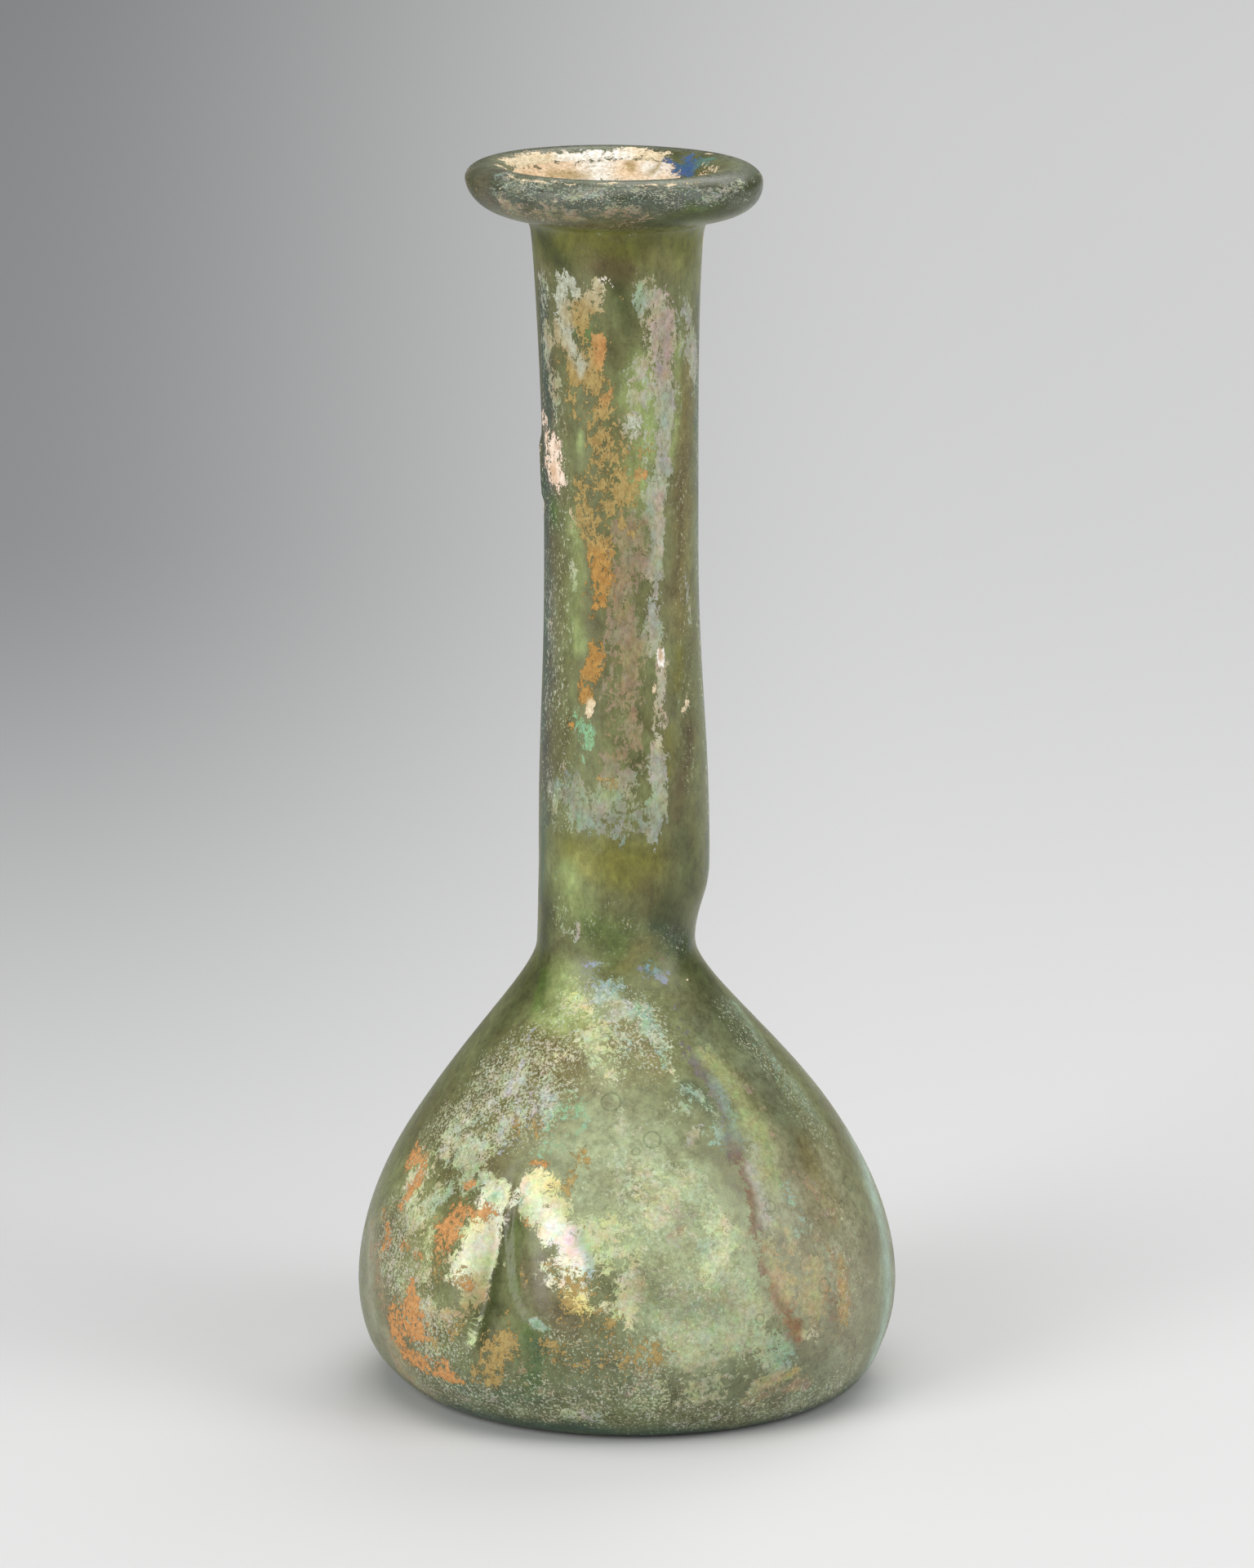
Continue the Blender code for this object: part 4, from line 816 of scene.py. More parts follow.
class UnguentariumColours(PropertyGroup):
    """The colours of the glass and of what covers it."""

    glass_olive: colour("Olive Glass", "The glass where nothing else shows", "#6C7148")
    glass_clear: colour("Clear Glass", "Glass with no film on it", "#656A24")
    glass_amber: colour("Amber Glass", "Clear glass where it looks yellow brown", "#706F2A")
    glass_yellow: colour("Yellow Glass", "Clear glass where it looks yellow", "#8F8E4E")
    glass_straw: colour("Straw Glass", "Smooth straw-coloured glass", "#929A69")
    # Yellow green glass with a painted glow: light shining through the glass is painted into this
    # colour.
    glass_bright_painted_glow: colour("Bright Glass", "Glass that glows yellow green", "#9BAE6E")
    glass_green: colour("Green Glass", "Glass that glows green", "#4E6C28")
    glass_pale: colour("Pale Glass", "Glass that is clouded all through", "#9FAB86")
    glass_taupe: colour("Taupe Glass", "Grey brown clouded glass of the flank", "#93947A")
    # Clouded blue green glass, also used as a painted reflection along the body's right edge.
    glass_mist_and_edge_reflection: colour("Misty Glass", "Clouded blue green glass of the flank", "#92AB98")
    glass_bronze: colour("Bronze Glass", "Brown green glass", "#787041")
    glass_brown: colour("Brown Glass", "Glass with a brown stain", "#574A2C")
    glass_smoke: colour("Smoky Glass", "Glass with a grey brown stain", "#686148")
    glass_dull: colour("Dull Glass", "Grey olive glass", "#666F53")
    # Dark glass: real stains, and painted shade in the dent's groove, under the rim and where the wall
    # turns away at its edges.
    glass_dark_stain_and_shade: colour("Dark Glass", "Glass that is seen edge on", "#3B431E")
    # Teal glass of the thick edges, darkened with painted shade where the wall turns away at the edges,
    # along the foot and on the underside.
    glass_teal_and_edge_shade: colour("Teal Glass", "Thick glass of the edges", "#34503F")
    glass_slate: colour("Slate Glass", "Thick glass of the rim", "#475149")
    # Cream, yellow and white pearl carry painted highlight as well as the pearly skin's own colour.
    pearl_cream_and_highlight: colour("Cream Pearl", "Flaked pearly skin", "#E5E8C8")
    pearl_yellow_and_highlight: colour("Yellow Pearl", "Pearly skin that shines yellow", "#E4DA8A")
    pearl_white_and_highlight: colour("White Pearl", "Pearly skin at its brightest", "#F6F5E4")
    pearl_green: colour("Green Pearl", "Pearly skin that shines green", "#C3CA9A")
    pearl_beige: colour("Beige Pearl", "Pearly skin that shines brown", "#B7A274")
    pearl_pink: colour("Pink Pearl", "Pearly skin that shines pink", "#E6CFCB")
    pearl_rose: colour("Rose Pearl", "Pearly skin that shines red", "#8E6E5E")
    pearl_lilac: colour("Lilac Pearl", "Pearly skin that shines lilac", "#8A8FA2")
    pearl_blue: colour("Blue Pearl", "Pearly skin that shines blue", "#8FB0BC")
    pearl_teal: colour("Teal Pearl", "Pearly skin that shines blue green", "#5E8078")
    lapis: colour("Deep Blue", "The bluest of the pearly skin, in the mouth", "#46689A")
    film_green: colour("Green Film", "Matte film over the body", "#A9B38F")
    film_cream: colour("Cream Film", "Pale flecks of film", "#CDCFA8")
    film_grey: colour("Grey Film", "Grey green film", "#A6AA98")
    film_ash: colour("Ash Film", "Dull grey film on the rim", "#7F867A")
    film_teal: colour("Teal Film", "Blue green film", "#8DAC97")
    film_mint: colour("Mint Film", "The brightest green film", "#86B48C")
    film_lilac: colour("Lilac Film", "Grey pink film down the neck", "#B7AD97")
    film_rose: colour("Rose Film", "Pink edge of the neck's film", "#A08A8C")
    film_blue: colour("Blue Film", "Violet blue flecks", "#8F95B4")
    film_slate: colour("Slate Film", "Grey violet streak down the body", "#625A60")
    film_tan: colour("Tan Film", "Brown earthy film", "#928467")
    film_beige: colour("Beige Film", "Flat beige film", "#AAA077")
    film_gold: colour("Golden Film", "Yellow brown film", "#B19355")
    film_umber: colour("Umber Film", "Dark brown film", "#75563F")
    film_rust: colour("Rusty Film", "Red brown film", "#86603C")
    film_moss: colour("Moss Film", "Dark green film", "#5F6447")
    # Painted highlight along the ridge of the dent.
    film_ridge_highlight: colour("Ridge Film", "Light green on the edge of the dent", "#90AC7C")
    # White flakes of film, and the painted highlight at the top of the dent.
    film_white_and_highlight: colour("White Film", "White flakes of film", "#DDE2CC")
    speck: colour("Specks", "Fine pale specks that lie on everything", "#C4C9B0")
    rust: colour("Rust", "Orange crust", "#C8935C")
    rust_tan: colour("Tan Rust", "Brown orange crust", "#A8925C")
    rust_pale: colour("Pale Rust", "Orange cream crust of the mouth", "#F3D8B6")
    ochre: colour("Ochre", "The most orange crust", "#B38A4B")
    umber: colour("Umber", "Dark brown crust", "#6B5030")
    cream: colour("Cream", "Cream crust", "#E4D5B6")
    lime: colour("Lime", "White crust", "#FCFAF4")
    lime_pink: colour("Pink Lime", "Pinkish white crust", "#F0DCCA")
    flake: colour("Flake", "Grey white flakes", "#B7BEAE")
    flake_cream: colour("Cream Flake", "Cream flakes", "#BFB897")


def curve_between(start, start_handle, end_handle, end, steps):
    """Points along a cubic curve, without its first one."""
    corners = (start, start_handle, end_handle, end)
    points = []
    for step in range(1, steps + 1):
        far = step / steps
        near = 1 - far
        weights = (near**3, 3 * near**2 * far, 3 * near * far**2, far**3)
        points.append(tuple(sum(w * c[axis] for w, c in zip(weights, corners)) for axis in (0, 1)))
    return points


def upright_curve(top, bottom, top_share, bottom_share, steps):
    """A curve from top down to bottom that runs straight down at both ends."""
    drop = top[1] - bottom[1]
    top_handle = (top[0], top[1] - top_share * drop)
    bottom_handle = (bottom[0], bottom[1] + bottom_share * drop)
    return curve_between(top, top_handle, bottom_handle, bottom, steps)


def levels_of(sizes):
    """The heights of the collar and the waist."""
    collar_height = sizes.total_height - sizes.rim_thickness
    return collar_height, collar_height - sizes.neck_length


def outer_side(sizes, where=""):
    """The outside of the neck and body as (radius, height), from the collar down to the belly.

    where says whose rings it is drawn with: the outside's own, or those of the "inner " wall.
    """
    collar_height, waist_height = levels_of(sizes)
    collar = (sizes.collar_radius, collar_height - sizes.rim_fillet)
    narrow = (sizes.narrow_radius, waist_height + sizes.narrow_rise)
    bulb = (sizes.bulb_radius, waist_height + sizes.bulb_rise)
    waist = (sizes.waist_radius, waist_height)
    belly = (sizes.belly_radius, sizes.belly_height)
    flare = collar[1] - narrow[1]
    collar_handle = (
        collar[0] - COLLAR_TAPER * (collar[0] - narrow[0]),
        collar[1] - COLLAR_FULLNESS * flare,
    )
    narrow_handle = (narrow[0], narrow[1] + NECK_FULLNESS * flare)
    return (
        [collar]
        + curve_between(collar, collar_handle, narrow_handle, narrow, RINGS[where + "collar"])
        + upright_curve(narrow, bulb, NECK_FULLNESS, NECK_FULLNESS, RINGS[where + "neck"])
        + upright_curve(bulb, waist, NECK_FULLNESS, NECK_FULLNESS, RINGS[where + "bulb"])
        + upright_curve(waist, belly, WAIST_FULLNESS, BELLY_FULLNESS, RINGS[where + "body"])
    )


def heel(belly, foot, steps):
    """The rounded turn from the belly in to the foot, as (radius, height)."""
    upright = (belly[0], belly[1] - HEEL_UPRIGHT * (belly[1] - foot[1]))
    flat = (foot[0] + HEEL_FLAT * (belly[0] - foot[0]), foot[1])
    return curve_between(belly, upright, flat, foot, steps)


def whole_outside(sizes):
    """The outside as (radius, height), from the collar down to the foot."""
    outside = outer_side(sizes)
    return outside + heel(outside[-1], (sizes.foot_radius, 0.0), RINGS["heel"])


def inner_side(sizes):
    """The inside of the neck and body, a wall's thickness in from the outside."""
    waist_height = levels_of(sizes)[1]
    outside = outer_side(sizes, "inner ")
    inside = []
    for index, (radius, height) in enumerate(outside):
        above = outside[max(index - 1, 0)]
        below = outside[min(index + 1, len(outside) - 1)]
        run, drop = below[0] - above[0], above[1] - below[1]
        share = (height - sizes.belly_height) / (waist_height - sizes.belly_height)
        share = min(1.0, max(0.0, share))
        wall = sizes.body_wall + share * (sizes.neck_wall - sizes.body_wall)
        slant = math.hypot(run, drop)
        inside.append((radius - wall * drop / slant, height - wall * run / slant))
    inside[-1] = (sizes.belly_radius - sizes.body_wall, sizes.belly_height)
    return inside


def hollow_floor(sizes, edge_radius, edge_height, steps):
    """A shallow dome from the edge in to a small ring round the axis, as (radius, height)."""
    points = []
    for step in range(1, steps + 1):
        share = 1 - step / steps
        radius = max(edge_radius * share, POLE_RADIUS)
        points.append((radius, edge_height + sizes.hollow_rise * (1 - share**2)))
    return points


def rim_roll(sizes):
    """The rolled rim from its inner edge, over the crown and in along its underside."""
    collar_height = levels_of(sizes)[0]
    middle = (sizes.rim_radius - sizes.rim_width / 2, sizes.total_height - sizes.rim_crown)
    points = []
    for step in range(RINGS["crown"] + 1):
        angle = math.pi * (1 - step / RINGS["crown"])
        radius = middle[0] + sizes.rim_width / 2 * math.cos(angle)
        points.append((radius, middle[1] + sizes.rim_crown * math.sin(angle)))
    widest = points[-1]
    under = (sizes.collar_radius + sizes.rim_fillet, collar_height)
    upright = (widest[0], widest[1] - UNDER_RIM_UPRIGHT * (widest[1] - under[1]))
    flat = (under[0] + UNDER_RIM_FLAT * (widest[0] - under[0]), under[1])
    return points + curve_between(widest, upright, flat, under, RINGS["under rim"])


def wall_profile(sizes):
    """The whole wall as (radius, height), from the inner floor's middle to the underside's."""
    inside = inner_side(sizes)
    inner_foot = (sizes.foot_radius - sizes.body_wall, sizes.floor_thickness)
    inside += heel(inside[-1], inner_foot, RINGS["inner heel"])
    inside += hollow_floor(sizes, *inner_foot, RINGS["floor"])
    rim = rim_roll(sizes)
    throat_height = sizes.total_height - sizes.mouth_depth
    below_throat = [point for point in inside if point[1] < throat_height - sizes.neck_wall]
    throat = (below_throat[0][0], throat_height)
    lip = rim[0]
    funnel = curve_between(
        throat,
        (throat[0], throat[1] + THROAT_UPRIGHT * (lip[1] - throat[1])),
        (lip[0] - LIP_ACROSS * (lip[0] - throat[0]), lip[1] - LIP_DOWN * (lip[1] - throat[1])),
        lip,
        RINGS["funnel"],
    )
    outside = whole_outside(sizes)
    stand = [(sizes.stand_inner_radius, 0.0)]
    stand += hollow_floor(sizes, sizes.stand_inner_radius, 0.0, RINGS["hollow"])
    return below_throat[::-1] + [throat] + funnel[:-1] + rim + outside + stand


def ease(share):
    """Eases from 0 to 1 as share does, for an array."""
    share = np.clip(share, 0.0, 1.0)
    return share * share * (3 - 2 * share)


def shift_at(sizes, height):
    """How far the middle of the glass strays to +X at these heights."""
    collar_height, waist_height = levels_of(sizes)
    levels = (
        (0.0, FOOT_SHIFT),
        (HEEL_LEVEL, 0.0),
        (sizes.belly_height, 0.0),
        (SHOULDER_LEVEL, SHOULDER_SHIFT),
        (waist_height, WAIST_SHIFT),
        (waist_height + sizes.bulb_rise, BULB_SHIFT),
        (waist_height + sizes.narrow_rise, NARROW_SHIFT),
        (collar_height, COLLAR_SHIFT),
        (sizes.total_height, RIM_SHIFT),
    )
    shift = np.full_like(height, FOOT_SHIFT)
    for (low, low_shift), (high, high_shift) in zip(levels, levels[1:]):
        moved = low_shift + (high_shift - low_shift) * ease((height - low) / (high - low))
        shift = np.where(height > low, moved, shift)
    return shift


def dent_at(sizes, angle, height, radius):
    """How far the flank is pushed in at these places."""
    down = (DENT_TOP - height) / (DENT_TOP - DENT_BOTTOM)
    middle = DENT_ANGLE + DENT_SLANT * down
    width = DENT_WIDTH_TOP + (DENT_WIDTH_BOTTOM - DENT_WIDTH_TOP) * np.clip(down, 0, 1)
    across = (angle - middle) * radius / width
    along = ease(down / DENT_TOP_EASE) * ease((1 - down) / DENT_BOTTOM_EASE)
    return sizes.dent_depth * along * np.exp(-across * across)


def pinch_at(sizes, angle, height, radius):
    """How far the waist is pinched in at these places."""
    across = (angle - PINCH_ANGLE) * radius / PINCH_WIDTH
    along = (height - levels_of(sizes)[1] + PINCH_DROP) / PINCH_WIDTH
    return sizes.pinch_depth * np.exp(-across * across - along * along)


def blown_places(sizes, points):
    """Where points of the true turned wall end up on the hand-blown bottle."""
    radius = np.hypot(points[:, 0], points[:, 1])
    height = points[:, 2]
    angle = np.arctan2(points[:, 0], -points[:, 1])
    pushed = dent_at(sizes, angle, height, radius) + pinch_at(sizes, angle, height, radius)
    safe = np.maximum(radius, LEAST_LENGTH)
    scale = (safe - np.minimum(pushed, MOST_PUSHED * safe)) / safe
    tipped = RIM_TILT * ease((height - levels_of(sizes)[0] + TILT_RISE) / TILT_RISE)
    x = points[:, 0] * scale + shift_at(sizes, height)
    return np.stack([x, points[:, 1] * scale, height - tipped * points[:, 0]], axis=1)


def deselect_everything():
    """Leaves nothing selected, so that an operator acts on the new piece alone."""
    bpy.ops.object.select_all(action="DESELECT")


def turn_wall(sizes):
    """The wall as a mesh, drawn up ring by ring from the inner floor."""
    profile = wall_profile(sizes)
    deselect_everything()
    bpy.ops.mesh.primitive_circle_add(
        vertices=SIDES, radius=profile[0][0], fill_type="NOTHING", location=(0, 0, profile[0][1])
    )
    bottle = bpy.context.object
    bottle.name = bottle.data.name = "unguentarium_glass"
    bpy.ops.object.transform_apply(location=True, rotation=True, scale=True)
    bpy.ops.object.mode_set(mode="EDIT")
    bpy.ops.mesh.select_all(action="SELECT")
    for (radius, height), (next_radius, next_height) in zip(profile, profile[1:]):
        bpy.ops.mesh.extrude_region_move(
            TRANSFORM_OT_translate={"value": (0, 0, next_height - height)}
        )
        share = next_radius / radius
        bpy.ops.transform.resize(value=(share, share, 1), center_override=(0, 0, next_height))
    # The last ring closes the underside. The first one, in the middle of the floor, is next.
    bpy.ops.mesh.merge(type="CENTER")
    bpy.ops.object.mode_set(mode="OBJECT")
    for vertex in bottle.data.vertices:
        flat = math.hypot(vertex.co.x, vertex.co.y)
        vertex.select = flat < 2 * POLE_RADIUS and vertex.co.z > 2 * sizes.hollow_rise
    bpy.ops.object.mode_set(mode="EDIT")
    bpy.ops.mesh.merge(type="CENTER")
    bpy.ops.mesh.select_all(action="SELECT")
    bpy.ops.mesh.normals_make_consistent(inside=False)
    bpy.ops.object.mode_set(mode="OBJECT")
    bpy.ops.object.modifier_add(type="SUBSURF")
    smoothing = bottle.modifiers[-1]
    smoothing.levels = smoothing.render_levels = SMOOTHING
    bpy.ops.object.modifier_apply(modifier=smoothing.name)
    return bottle


def surface_places(sizes, places):
    """The points of a stroke on the bottle in metres, close enough together to follow its wall."""
    radii, heights = np.array(whole_outside(sizes)[::-1]).T
    known = []
    for degrees, height, *radius in places:
        height *= MM
        known.append((degrees, height, radius[0] * MM if radius else None))
    line = [known[0]]
    for start, end in zip(known, known[1:]):
        turns = abs(end[0] - start[0]) / STEP_ROUND
        climbs = abs(end[1] - start[1]) / STEP_UP
        steps = math.ceil(max(turns, climbs, 1))
        given = start[2] is not None and end[2] is not None
        for step in range(1, steps + 1):
            share = step / steps
            degrees = start[0] + (end[0] - start[0]) * share
            height = start[1] + (end[1] - start[1]) * share
            radius = start[2] + (end[2] - start[2]) * share if given else None
            line.append((degrees, height, radius))
    turned = []
    for degrees, height, radius in line:
        angle = math.radians(degrees)
        radius = np.interp(height, heights, radii) if radius is None else radius
        turned.append((radius * math.sin(angle), -radius * math.cos(angle), height))
    return blown_places(sizes, np.array(turned))


def reach_of(stroke, points, half):
    """Which points are near a stroke, and how far each is from it in half widths."""
    margin = FARTHEST_REACH * half
    near = np.all((points > stroke.min(0) - margin) & (points < stroke.max(0) + margin), axis=1)
    near = np.nonzero(near)[0]
    reach = np.full(len(near), np.inf)
    ends = stroke[1:] if len(stroke) > 1 else stroke
    for start, end in zip(stroke, ends):
        run = end - start
        share = np.clip((points[near] - start) @ run / max(run @ run, LEAST_SQUARE), 0, 1)
        gap = points[near] - start - share[:, None] * run
        reach = np.minimum(reach, np.sqrt((gap * gap).sum(1)) / half)
    return near, reach


def strayed(points):
    """The points moved a little, so that a stroke measured there has a wandering edge."""
    noise.seed_set(STRAY_SEED)
    moved = points.copy()
    for wave, stray in STRAY_WAVES:
        for index, point in enumerate(points):
            moved[index] += np.array(noise.noise_vector(Vector(point) / wave)) * stray
    return moved


def inside_of(sizes, points):
    """Which points are on the inner wall or in the funnel of the mouth.

    Those of the underside count too, so no crust lies there.
    """
    radii, heights = np.array(outer_side(sizes)[::-1]).T
    height = points[:, 2]
    flat = np.hypot(points[:, 0] - shift_at(sizes, height), points[:, 1])
    wall = np.interp(height, heights, radii) - INNER_DEPTH
    collar_height = levels_of(sizes)[0]
    lip = sizes.rim_radius - sizes.rim_width + LIP_MARGIN
    funnel = sizes.collar_radius - FUNNEL_MARGIN
    up = np.clip((height - collar_height) / FUNNEL_RISE, 0, 1)
    funnel = funnel + (lip - funnel) * up
    return flat < np.where(height > collar_height - FUNNEL_DROP, funnel, wall)


def press_relief(sizes, points):
    """The points with the low relief pressed in or raised."""
    flat = np.hypot(points[:, 0], points[:, 1])
    out = points * (1, 1, 0) / np.maximum(flat, LEAST_LENGTH)[:, None]
    moved = points.copy()
    for _name, rise, half, places in RELIEF:
        near, reach = reach_of(surface_places(sizes, places), points, half * MM)
        moved[near] += out[near] * (rise * MM * np.exp(-reach * reach))[:, None]
    return moved


def paint(mesh, sizes, colours, points):
    """Lays the strokes of each layer on the mesh, as one colour attribute for each layer.

    Its alpha says how much of the glass the layer covers. The ground covers all of it, so there
    the strokes only blend into each other.
    """
    moved = strayed(points)
    inside = inside_of(sizes, points)
    for layer, strokes in STROKES.items():
        hue = np.empty((len(points), 3))
        hue[:] = colours.glass_olive if layer == "ground" else getattr(colours, strokes[0][1])
        cover = np.zeros(len(points))
        mouth = MOUTH if layer == "crust" else ()
        for index, (_name, paint_name, half, amount, places) in enumerate((*strokes, *mouth)):
            near, reach = reach_of(surface_places(sizes, places), moved, half * MM)
            if mouth:
                # The crust stays outside, and the strokes of the mouth inside.
                kept = inside[near] == (index >= len(strokes))
                near, reach = near[kept], reach[kept]
            new_hue = np.array(getattr(colours, paint_name))
            if layer == "ground":
                laid = amount * np.exp(-reach * reach)
                hue[near] += (new_hue - hue[near]) * laid[:, None]
                continue
            laid = amount * (1 - ease((reach - FULL_REACH) / FADE_REACH))
            under = cover[near]
            both = laid + under * (1 - laid)
            share = laid / np.maximum(both, LEAST_COVER)
            hue[near] += (new_hue - hue[near]) * share[:, None]
            cover[near] = both
        attribute = mesh.attributes.new(layer, "FLOAT_COLOR", "POINT")
        attribute.data.foreach_set("color", np.column_stack([hue, cover]).ravel())


def add(tree, kind, inputs=None, **settings):
    """Adds a node with its settings; each input takes a value, an output or a node's first output."""
    node = tree.nodes.new(kind)
    for name, value in settings.items():
        setattr(node, name, value)
    for name, value in (inputs or {}).items():
        if isinstance(value, bpy.types.Node):
            value = value.outputs[0]
        if isinstance(value, bpy.types.NodeSocket):
            tree.links.new(value, node.inputs[name])
        else:
            node.inputs[name].default_value = value
    return node


def drawn_out(tree, place):
    """The places at which the glass's patterns are read.

    The neck was drawn out while it was soft, so the patterns there are longer than wide. The rim
    was rolled over, so there they run round it.
    """
    parts = add(tree, "ShaderNodeSeparateXYZ", {0: place}).outputs
    below_neck = add(
        tree,
        "ShaderNodeMapRange",
        {"Value": parts["Z"], "From Max": NECK_FOOT, "To Max": (1 - NECK_DRAWN) * NECK_FOOT},
    )
    drawn = add(
        tree,
        "ShaderNodeMath",
        {0: parts["Z"], 1: NECK_DRAWN, 2: below_neck},
        operation="MULTIPLY_ADD",
    )
    rolled = add(
        tree,
        "ShaderNodeMapRange",
        {
            "Value": parts["Z"],
            "From Min": RIM_FOOT,
            "From Max": 2 * RIM_FOOT,
            "To Max": RIM_ROLLED * RIM_FOOT,
        },
    )
    height = add(tree, "ShaderNodeMath", {0: drawn, 1: rolled}, operation="ADD")
    return add(tree, "ShaderNodeCombineXYZ", {0: parts["X"], 1: parts["Y"], 2: height})


def varied(tree, hue, pattern, low, high):
    """A colour multiplied by factors that go from low to high as a pattern does."""
    factors = add(
        tree,
        "ShaderNodeMapRange",
        {6: pattern, 7: (NOISE_LOW,) * 3, 8: (NOISE_HIGH,) * 3, 9: low, 10: high},
        data_type="FLOAT_VECTOR",
    ).outputs[1]
    return add(tree, "ShaderNodeVectorMath", {0: hue, 1: factors}, operation="MULTIPLY")


def ragged(tree, cover, grains, clusters, bunch, soft, solid):
    """How solid a layer is from place to place, where cover says how much of the glass it has.

    Where that is only a part, the layer lies in ragged grains that gather into clusters. Its
    edges are as wide as soft says, and solid is the most that it hides of what is under it.
    """
    squared = add(tree, "ShaderNodeMath", {0: cover, 1: cover}, operation="MULTIPLY")
    partly = add(tree, "ShaderNodeMath", {0: cover, 1: squared}, operation="SUBTRACT")
    push = add(
        tree,
        "ShaderNodeMapRange",
        {
            "Value": clusters,
            "From Min": CLUSTER_LOW,
            "From Max": CLUSTER_HIGH,
            "To Min": -bunch,
            "To Max": bunch,
        },
    )
    gathered = add(
        tree, "ShaderNodeMath", {0: partly, 1: push, 2: cover}, operation="MULTIPLY_ADD"
    )
    bare = add(
        tree,
        "ShaderNodeMapRange",
        {
            "Value": grains,
            "From Min": NOISE_LOW,
            "From Max": NOISE_HIGH,
            "To Min": 0.0,
            "To Max": -BARE,
        },
    )
    excess = add(
        tree,
        "ShaderNodeMath",
        {0: gathered, 1: 1 + 2 * soft, 2: bare},
        operation="MULTIPLY_ADD",
    )
    return add(
        tree,
        "ShaderNodeMapRange",
        {"Value": excess, "From Max": 2 * soft, "To Max": solid},
        interpolation_type="SMOOTHSTEP",
    )


def seed_rings(tree, place, bubbles):
    """Where the round edges of the seeds in the glass are: 1 there, and 0 elsewhere."""
    rings = 0.0
    for centre, radius in bubbles:
        away = add(tree, "ShaderNodeVectorMath", {0: place, 1: centre}, operation="DISTANCE")
        edge = add(
            tree,
            "ShaderNodeMath",
            {0: away.outputs["Value"], 1: radius, 2: RING_WIDTH},
            operation="COMPARE",
        )
        rings = add(tree, "ShaderNodeMath", {0: rings, 1: edge}, operation="MAXIMUM")
    return rings


